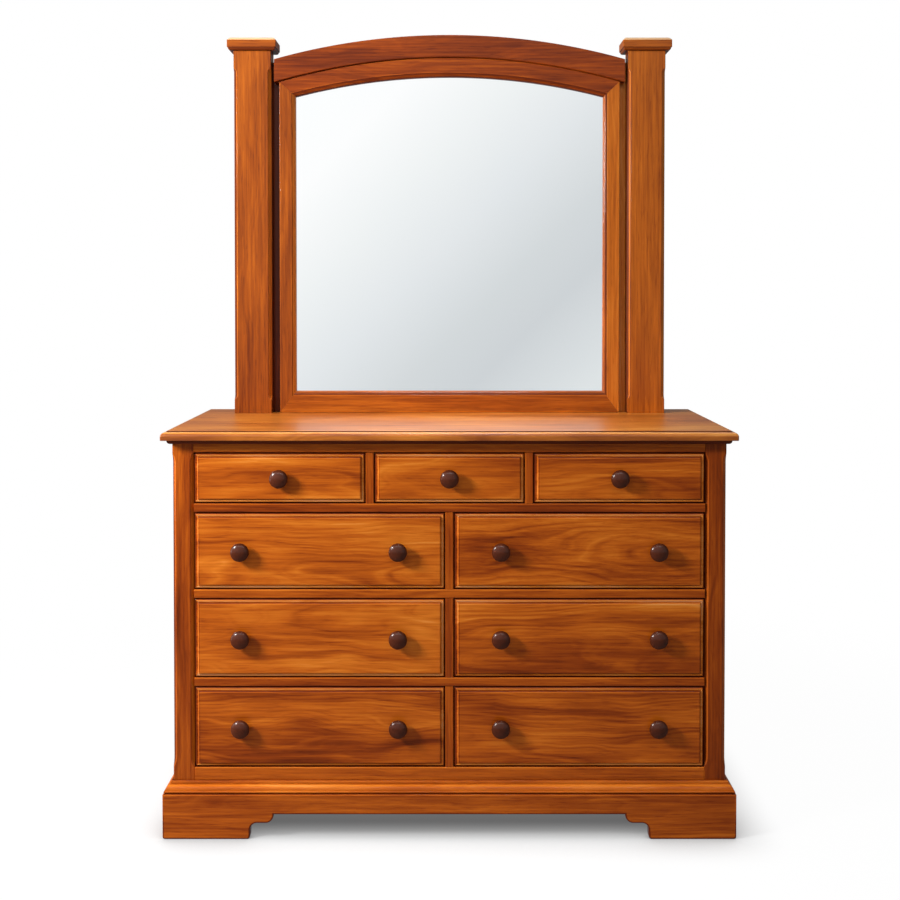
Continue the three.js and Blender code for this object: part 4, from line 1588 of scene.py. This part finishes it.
    def add_pin(self, work: Workpiece, slot: float, mouth: float, root: float, left: float,
                reach: Flat, lie: Lie) -> None:
        """Adds one pin in the slot between two tails.

        Args:
            work: The piece that it belongs to.
            slot: The height of the slot's middle.
            mouth: The place of the box's outer face.
            root: The place of the slot's bottom.
            left: The side's left face.
            reach: The lowest and highest places of the box.
            lie: The wood that it is made of.
        """
        narrow, wide = self.pin_halves
        lowest, highest = reach
        outline = [(mouth, max(slot - narrow, lowest)), (mouth, min(slot + narrow, highest)),
                   (root, min(slot + wide, highest)), (root, max(slot - wide, lowest))]
        work.add_slab(outline, Facing.SIDE, left, left + self.box_wall, lie, self.pin_ease)

    def build_knob(self, name: str, place: str) -> None:
        """Makes one turned knob.

        Args:
            name: The row and column of the drawer.
            place: What the knob is called on its drawer.
        """
        node = f"drawer_{name}_{place}"
        low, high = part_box(node)
        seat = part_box(f"drawer_{name}_front")[0].y - GLUE_LINE
        profile = self.knob.profile((high.z - low.z) / 2, seat - low.y)
        middle = ((low.x + high.x) / 2, seat, (low.z + high.z) / 2)
        work = Workpiece()
        lie = self.shop.yard.board(Run.BACKWARD_FACING_UP, Figure.CALM)
        work.add_turning(profile, middle, lie, self.knob.sides)
        self.shop.fit(work, f"{place}_{name}", f"drawer_{name}", Slot.KNOB, node)


@dataclass(frozen=True)
class CapShape:
    """A post cap: a quarter round under a quirk, a face and a bevel up to the top."""

    under: float = 0.0085
    quirk_reach: float = 0.0022
    quirk_drop: float = 0.0018
    quirk_head: float = 0.001
    ease: float = 0.0006
    bevel: float = 0.007
    arris: float = 0.0004
    corner: float = 0.0022
    # Painted shade under the cap and in its quirk, and a painted highlight band along the bevel at
    # its top
    quarter_painted_light: Numbers = (-0.4, -0.35, -0.3, -0.25, -0.2, -0.2, -0.25)
    quirk_painted_light: Numbers = (-0.5, -0.4, 0.0)
    bevel_painted_light: Numbers = (0.0, 1.2, 1.3, 0.2)

    def edge(self, rise: float) -> list[Flat]:
        """The edge, from the underside to the top.

        Args:
            rise: The height of the cap.

        Returns:
            Pairs of the way in from the cap's outline and the height.
        """
        foot, shoulder = self.under - self.quirk_drop, rise - self.bevel
        quarter = arc((self.under, foot), (self.under - self.quirk_reach, foot), 270, 180, 6)
        quirk = [(self.quirk_reach, self.under - self.quirk_head),
                 (self.ease, self.under - self.ease), (0.0, self.under)]
        bevel = [(0.0, shoulder - self.arris), (self.arris, shoulder + self.arris),
                 (self.bevel - self.ease, rise - self.ease), (self.bevel + self.ease, rise)]
        return [*quarter, *quirk, *bevel]

    def painted_light(self) -> list[float]:
        """How much paler or darker each point of the edge is, as painted light and shade."""
        return [*self.quarter_painted_light, *self.quirk_painted_light, *self.bevel_painted_light]


@dataclass(frozen=True)
class MemberShape:
    """A member of the mirror's frame: a face, a bevel down to the glass and a rebate."""

    thickness: float
    outer_round: float = 0.0012
    outer_band: float = 0.005
    inner_band: float = 0.004
    arris: float = 0.0004
    bevel_width: float = 0.010
    bevel_depth: float = 0.0094
    quirk_width: float = 0.0006
    quirk_depth: float = 0.0016
    lip_depth: float = 0.0147
    rebate: float = 0.009
    # Painted light and shade on the section's points: dark lines at the face's outer edge, and for
    # the arris, bevel and lip one set painted lit and one painted in shade
    face_painted_light: Numbers = (-0.4, -0.35, -0.2, 0.05, 0.08, 0.0, 0.0, 0.12)
    lit_arris: float = -0.3
    lit_bevel: Numbers = (-0.4, -0.35, -0.25, -0.15, -0.1, -0.05, 0.05, 0.1, 0.1)
    lit_lip: Numbers = (-0.2, -0.3, -0.3)
    shaded_arris: float = -0.4
    shaded_bevel: Numbers = (-0.3, -0.2, -0.1, 0.0, 0.05, 0.0, -0.1, -0.3, -0.3)
    shaded_lip: Numbers = (-0.3, -0.4, -0.4)

    def section(self, width: float) -> list[Flat]:
        """The way out from the glass's edge, and the depth.

        Args:
            width: The width of the member's face and bevel together.

        Returns:
            The points in order, from the outer back corner round the front.
        """
        inner = self.bevel_width
        corner = arc((width - self.outer_round, self.outer_round),
                     (self.outer_round, self.outer_round), 0, -90, 3)
        face = [(width - self.outer_band, 0.0), (inner + self.inner_band, 0.0),
                (inner + self.arris, 0.0), (inner, self.arris)]
        bevel = arc((inner - self.quirk_width, self.bevel_depth),
                    (inner - self.quirk_depth, self.bevel_depth - self.quirk_depth), 270, 180, 7)
        return [(width, self.thickness), *corner, *face, *bevel, (0.0, self.bevel_depth),
                (0.0, self.lip_depth), (self.rebate, self.lip_depth),
                (self.rebate, self.thickness)]

    def lit(self, gain: float = 0.0) -> list[float]:
        """How pale or dark each point of a section is whose bevel is painted lit, more by a gain.
        """
        bevel = [gain + painted_tint for painted_tint in self.lit_bevel]
        return [*self.face_painted_light, self.lit_arris, *bevel, *self.lit_lip]

    def shaded(self) -> list[float]:
        """How pale or dark each point of a section is whose bevel is painted in shade."""
        return [*self.face_painted_light, self.shaded_arris, *self.shaded_bevel, *self.shaded_lip]


@dataclass(frozen=True)
class Flank:
    """What one side of the mirror has of its own."""

    name: str
    side: int
    post_tone: float
    # How much paler the post's lower half is, or darker if below zero
    post_lower_half_tone: float
    # Painted light and shade on the post's chamfers: a dark line at their outer edge and a painted
    # glint at the arris
    post_painted_light: Numbers
    cap_tone: float
    frame_tone: float
    # How much paler the side member's bevel is painted: paler on the left, darker on the right, as
    # painted light
    frame_gain: float


@dataclass
class Mirror:
    """The posts and caps, the crown rail, the frame, the glass and its backing."""

    shop: Workshop
    post_chamfer: float = 0.009
    post_tongue: float = 0.014
    post_chamfer_foot: float = 0.036
    post_chamfer_head: float = 0.045
    cap: CapShape = CapShape()
    glass_half: float = 0.424
    glass_radius: float = 1.677
    side_width: float = 0.044
    top_width: float = 0.051
    bottom_width: float = 0.059
    crown_height: float = 0.0607
    crown_rise: float = 0.061
    crown_round: float = 0.0025
    backing_drop: float = 0.002
    backing_ease: float = 0.0008
    # Painted shade and light on the backing's three widths: the left strip dark as in the post's
    # shadow, the right strip pale where light reaches its gap
    backing_painted_light: Numbers = (-0.55, -0.2, 0.37)
    backing_steps: int = 12
    arch_steps: int = 44
    bottom_tone: float = -0.2
    arch_tone: float = -0.34
    crown_tone: float = -0.35
    flanks: tuple[Flank, ...] = (
        Flank("left", -1, post_tone=-0.2, post_lower_half_tone=-0.16,
              post_painted_light=(-0.8, -0.2, 0.35, 0.45, 0.3, 0.0),
              cap_tone=-0.28, frame_tone=-0.32, frame_gain=0.46),
        Flank("right", 1, post_tone=-0.1, post_lower_half_tone=-0.03,
              post_painted_light=(-0.8, 0.28, -0.4, -0.45, -0.2, 0.0),
              cap_tone=-0.1, frame_tone=0.08, frame_gain=-0.18))

    def __post_init__(self) -> None:
        """Reads the mirror's places from its CAD nodes."""
        self.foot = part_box("dresser_top")[1].z
        low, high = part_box("mirror_frame_left")
        self.member = MemberShape(high.y - low.y)
        self.frame_front = low.y
        self.frame_foot = low.z
        self.sight_foot = self.foot + self.bottom_width
        self.crown_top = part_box("crown_rail")[1].z
        self.crown_radius = self.glass_radius + self.top_width + self.crown_rise
        self.centre = self.crown_top - self.crown_radius

    def build(self) -> None:
        """Makes every piece of the mirror."""
        for flank in self.flanks:
            self.build_post(flank)
            self.build_cap(flank)
        for flank in self.flanks:
            self.build_frame_side(flank)
        self.build_frame_bottom()
        self.build_frame_top()
        self.build_crown()
        self.build_backing()
        self.dress_glass()

    def height_at(self, radius: float, x: float) -> float:
        """The height of an arch about the mirror's centre at a place across."""
        return self.centre + math.sqrt(radius * radius - x * x)

    def build_post(self, flank: Flank) -> None:
        """Makes one post.

        Args:
            flank: The side that it stands on.
        """
        low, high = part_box(f"{flank.name}_post")
        foot = self.foot + GLUE_LINE
        post = ChamferedUpright((low.x, low.y, foot), tuple(high), self.post_chamfer,
                                self.post_tongue, foot + self.post_chamfer_foot,
                                high.z - self.post_chamfer_head, flank.post_lower_half_tone,
                                flank.post_painted_light)
        work = Workpiece()
        lie = self.shop.yard.board(Run.UPRIGHT_FACING_FRONT, Figure.STRAIGHT, flank.post_tone)
        post.shape(work, lie)
        self.shop.fit(work, f"post_{flank.name}", "carcase", Slot.CASE, f"{flank.name}_post",
                      finish=self.shop.honey_wood)

    def build_cap(self, flank: Flank) -> None:
        """Makes one post's cap.

        Args:
            flank: The side that it stands on.
        """
        low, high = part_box(f"{flank.name}_post_cap")
        rings = []
        for inwards, level in self.cap.edge(high.z - low.z):
            outline = oblong((low.x + inwards, low.y + inwards),
                             (high.x - inwards, high.y - inwards))
            rings.append([(x, y, low.z + level) for x, y in eased(outline, self.cap.corner)])
        work = Workpiece()
        lie = self.shop.yard.board(Run.LEVEL_FACING_FRONT, Figure.STRAIGHT, flank.cap_tone)
        work.add_rings(rings, lie, ring_painted_light=self.cap.painted_light())
        self.shop.fit(work, f"cap_{flank.name}", "carcase", Slot.CASE, f"{flank.name}_post_cap",
                      finish=self.shop.honey_wood)

    def build_frame_side(self, flank: Flank) -> None:
        """Makes the frame's left or right member.

        Args:
            flank: The side that it stands on.
        """
        width = self.side_width
        sight_head = self.height_at(self.glass_radius, self.glass_half)
        outer_head = self.height_at(self.glass_radius + self.top_width, self.glass_half + width)
        foot, head = [], []
        for out, depth in self.member.section(width):
            x, y = flank.side * (self.glass_half + out), self.frame_front + depth
            share = out / width
            foot.append((x, y, self.sight_foot - self.bottom_width * share + GLUE_LINE))
            head.append((x, y, sight_head + (outer_head - sight_head) * share - GLUE_LINE))
        work = Workpiece()
        lie = self.shop.yard.board(Run.UPRIGHT_FACING_FRONT, Figure.STRAIGHT, flank.frame_tone)
        work.add_rings([foot, head], lie, point_painted_light=self.member.lit(flank.frame_gain))
        self.shop.fit(work, f"frame_side_{flank.name}", "carcase", Slot.CASE,
                      f"mirror_frame_{flank.name}", finish=self.shop.honey_wood)

    def build_frame_bottom(self) -> None:
        """Makes the frame's bottom member."""
        width = self.bottom_width
        ends = []
        for side in (-1, 1):
            ends.append([(side * (self.glass_half + self.side_width * out / width),
                          self.frame_front + depth, max(self.sight_foot - out, self.frame_foot))
                         for out, depth in self.member.section(width)])
        work = Workpiece()
        lie = self.shop.yard.board(Run.LEVEL_FACING_FRONT, Figure.STRAIGHT, self.bottom_tone)
        work.add_rings(ends, lie, point_painted_light=self.member.lit())
        self.shop.fit(work, "frame_bottom", "carcase", Slot.CASE, "mirror_frame_bottom",
                      finish=self.shop.honey_wood)

    def build_frame_top(self) -> None:
        """Makes the frame's arched member."""
        width = self.top_width
        rings = []
        for step in range(self.arch_steps + 1):
            share = 2 * step / self.arch_steps - 1
            ring = []
            for out, depth in self.member.section(width):
                x = share * (self.glass_half + self.side_width * out / width)
                ring.append((x, self.frame_front + depth,
                             self.height_at(self.glass_radius + out, x)))
            rings.append(ring)
        work = Workpiece()
        lie = self.shop.yard.board(Run.LEVEL_FACING_FRONT, Figure.STRAIGHT, self.arch_tone)
        work.add_rings(rings, lie, point_painted_light=self.member.shaded())
        self.shop.fit(work, "frame_arch", "carcase", Slot.CASE, "mirror_frame_top")

    def build_crown(self) -> None:
        """Makes the crown rail."""
        low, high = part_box("crown_rail")
        inner, outer = self.crown_radius - self.crown_height, self.crown_radius
        section = eased([(inner, low.y), (inner, high.y), (outer, high.y), (outer, low.y)],
                        self.crown_round)
        rings = []
        for step in range(self.arch_steps + 1):
            x = high.x * (2 * step / self.arch_steps - 1)
            rings.append([(x, y, self.height_at(radius, x)) for radius, y in section])
        work = Workpiece()
        lie = self.shop.yard.board(Run.LEVEL_FACING_FRONT, Figure.STRAIGHT, self.crown_tone)
        work.add_rings(rings, lie)
        self.shop.fit(work, "crown", "carcase", Slot.CASE, "crown_rail")

    def build_backing(self) -> None:
        """Makes the board behind the glass, of three glued widths."""
        low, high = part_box("mirror_backing")
        radius = self.crown_radius - self.backing_drop
        joints = (low.x, -self.glass_half, self.glass_half, high.x)
        work = Workpiece()
        # Each width takes its painted shade or light as its board's tone
        for start, end, tone in zip(joints, joints[1:], self.backing_painted_light):
            places = [end + (start - end) * step / self.backing_steps
                      for step in range(self.backing_steps + 1)]
            outline = [(start, low.z), (end, low.z),
                       *[(x, self.height_at(radius, x)) for x in places]]
            lie = self.shop.yard.board(Run.UPRIGHT_FACING_FRONT, Figure.STRAIGHT, tone)
            work.add_slab(outline, Facing.FRONT, low.y, high.y, lie, self.backing_ease)
        self.shop.fit(work, "mirror_back_board", "carcase", Slot.PANEL, "mirror_backing",
                      finish=self.shop.finishes[Slot.CASE])

    def dress_glass(self) -> None:
        """Silvers the glass, which keeps its CAD shape."""
        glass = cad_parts["mirror_glass"]
        glass.data.materials.clear()
        glass.data.materials.append(self.shop.finishes[Slot.MIRROR])
        LOG.info("mirror_glass keeps its CAD shape")


# The studio


@dataclass(frozen=True)
class Lamp:
    """One soft lamp."""

    name: str
    place: Spot
    aim: Spot
    width: float
    height: float
    power: float
    spread: float = 180.0

    def hang(self) -> None:
        """Adds the lamp to the scene."""
        data = bpy.data.lights.new(self.name, "AREA")
        data.shape = "RECTANGLE"
        data.size, data.size_y, data.energy = self.width, self.height, self.power
        data.spread = math.radians(self.spread)
        lamp = bpy.data.objects.new(self.name, data)
        lamp.location = self.place
        towards = Vector(self.aim) - Vector(self.place)
        lamp.rotation_euler = towards.to_track_quat("-Z", "Y").to_euler()
        bpy.context.scene.collection.objects.link(lamp)


WALL_STOPS: Stops = (
    (0.0, (254, 255, 255)), (0.17, (254, 254, 254)), (0.34, (242, 244, 244)),
    (0.51, (229, 232, 234)), (0.68, (213, 217, 219)), (0.8, (207, 211, 214)),
    (0.92, (217, 221, 223)), (1.0, (224, 228, 229)))


@dataclass
class Studio:
    """The floor, the lamps, the pale surroundings and the camera."""

    floor_reach: float = 9.0
    floor_shown: float = 1.1
    floor_grey: float = 0.4
    floor_glow: float = 0.75
    floor_mirrored: float = 0.22
    # How the painted shadow on the floor reaches, fades to white far off and darkens under the
    # dresser
    shadow_reach: float = 0.14
    shadow_power: float = 0.7
    shadow_far: Flat = (0.4, 1.6)
    fade_shares: Flat = (0.92, 0.08)
    under_step: Flat = (-0.02, 0.1)
    under_dark: float = 0.78
    fill: float = 0.18
    wall_start: float = 0.598
    wall_slope: float = 1.77
    wall_step: Flat = (0.1, 0.6)
    room_grey: float = 0.2
    camera_place: Spot = (0.0014, -2.6779, 1.3176)
    camera_pitch: float = 89.0
    sensor_width: float = 36.0
    focal_pixels: float = 1026.5
    picture_width: int = 900
    rise_pixels: float = 140.26
    lamps: tuple[Lamp, ...] = (
        Lamp("key lamp", (-2.3, -1.2, 2.05), (0.0, -0.2, 0.7), 0.55, 0.55, 114.0),
        Lamp("front lamp", (0.0, -2.2, 3.05), (0.0, -0.2, 0.6), 3.2, 0.3, 21.0),
        Lamp("top lamp", (0.0, -0.13, 2.9), (0.0, -0.12, 1.0), 0.7, 0.4, 2.0, 45.0),
        Lamp("left lamp", (-2.8, -0.15, 1.15), (0.0, -0.15, 1.15), 0.25, 2.0, 15.0),
    )

    def build(self) -> None:
        """Sets up everything round the dresser."""
        self.lay_floor()
        self.light_surroundings()
        for lamp in self.lamps:
            lamp.hang()
        self.place_camera()
        bpy.context.scene.view_settings.view_transform = "Standard"

    def lay_floor(self) -> None:
        """Lays a plain pale floor, which is white but for the dresser's shadow near its foot."""
        reach = self.floor_reach
        corners = [(x, y, 0.0) for x, y in oblong((-reach, -reach), (reach, reach))]
        mesh = bpy.data.meshes.new("floor")
        mesh.from_pydata(corners, [], [(0, 1, 2, 3)])
        mesh.materials.append(self.floor_material())
        floor = bpy.data.objects.new("floor", mesh)
        bpy.context.scene.collection.objects.link(floor)

    def floor_shade(self, bench: ShaderBench) -> tuple[Reading, Reading]:
        """Reads the dresser's shadow on the floor, painted into the floor's colour from ambient
        occlusion and a painted darkening under the dresser.

        Args:
            bench: The bench of the floor's material.

        Returns:
            The painted shade at each place, and how far the place counts as open floor.
        """
        right, back, _ = bench.parts(bench.add("ShaderNodeTexCoord", None, None, "Object"))
        across, away = right.math("ABSOLUTE"), back.math("ABSOLUTE")
        side, front = CAD_BOX[1][0], CAD_BOX[1][1]
        beyond_side = (across - side).math("MAXIMUM", 0.0)
        beyond_front = (away - front).math("MAXIMUM", 0.0)
        distance = (beyond_side * beyond_side + beyond_front * beyond_front) ** 0.5
        near_share, far_share = self.fade_shares
        fade = (distance.ramp(0.0, self.shadow_reach) * near_share
                + distance.ramp(*self.shadow_far) * far_share)
        inside = (side - across).math("MINIMUM", front - away)
        # Painted shadow: the floor darkens further in under the dresser
        under = inside.ramp(*self.under_step) * self.under_dark
        open_air = bench.add("ShaderNodeAmbientOcclusion", None,
                             {"Distance": self.shadow_reach}, 1)
        return open_air ** self.shadow_power * (1 - under), fade

    def floor_material(self) -> bpy.types.Material:
        """Builds the floor's material, which is dim to the mirror and the lacquer.

        Returns:
            The material.
        """
        material = bpy.data.materials.new("pale floor")
        bench = ShaderBench(material)
        seen, shine = (bench.add("ShaderNodeLightPath", None, None, f"Is {kind} Ray")
                       for kind in ("Camera", "Glossy"))
        shade, fade = self.floor_shade(bench)
        # The painted shadow shows to the camera in the floor's diffuse colour and in an emission of
        # the same shade
        dusk = shade * self.floor_shown
        shown = bench.blend(seen, grey(self.floor_grey), bench.vector(dusk, dusk, dusk))
        cloth = bench.add("ShaderNodeBsdfDiffuse", None, {"Color": shown})
        glow = bench.add("ShaderNodeEmission", None, {"Color": bench.vector(shade, shade, shade)})
        white = bench.add("ShaderNodeEmission")
        dim = bench.add("ShaderNodeEmission", None, {"Strength": self.floor_mirrored})
        near = bench.mix(seen * self.floor_glow, cloth, glow)
        open_floor = bench.mix(fade * seen, near, white)
        shader = bench.mix(shine, open_floor, dim)
        bench.add("ShaderNodeOutputMaterial", None, {"Surface": shader})
        return material

    def light_surroundings(self) -> None:
        """Gives a white background, a soft fill, and pale walls for the mirror to show."""
        world = bpy.data.worlds.new("studio")
        bpy.context.scene.world = world
        bench = ShaderBench(world)
        seen, shine, through = (bench.add("ShaderNodeLightPath", None, None, f"Is {kind} Ray")
                                for kind in ("Camera", "Glossy", "Transmission"))
        place = bench.add("ShaderNodeTexCoord", None, None, "Generated")
        right, back, up = bench.parts(place)
        slope = self.wall_start + (right - up) * self.wall_slope
        walls = bench.add("ShaderNodeValToRGB", {"stops": WALL_STOPS}, {"Fac": slope})
        facing = (back * -1).ramp(*self.wall_step)
        room = bench.blend(facing, grey(self.room_grey), walls)
        shown = bench.blend(shine, grey(1.0), room)
        bright = bench.add("ShaderNodeBackground", None, {"Color": shown, "Strength": 1.0})
        soft = bench.add("ShaderNodeBackground", None, {
            "Color": grey(1.0), "Strength": self.fill})
        choice = seen.math("MAXIMUM", shine).math("MAXIMUM", through)
        shader = bench.mix(choice, soft, bright)
        bench.add("ShaderNodeOutputWorld", None, {"Surface": shader})

    def place_camera(self) -> None:
        """Makes the camera at the picture's viewpoint."""
        data = bpy.data.cameras.new("camera")
        data.sensor_width = self.sensor_width
        data.lens = self.focal_pixels / self.picture_width * self.sensor_width
        data.shift_y = -self.rise_pixels / self.picture_width
        camera = bpy.data.objects.new("camera", data)
        camera.location = self.camera_place
        camera.rotation_euler = (math.radians(self.camera_pitch), 0.0, 0.0)
        bpy.context.scene.collection.objects.link(camera)
        bpy.context.scene.camera = camera


def main() -> None:
    """Builds the dresser and the studio round it."""
    logging.basicConfig(level=logging.INFO, format="%(name)s: %(message)s")
    shop = Workshop()
    for part in (Case(shop), Mouldings(shop), Top(shop), Plinth(shop), Drawers(shop),
                 Mirror(shop)):
        part.build()
        LOG.info("%s is built", type(part).__name__)
    Studio().build()


if __name__ == "__main__":
    main()
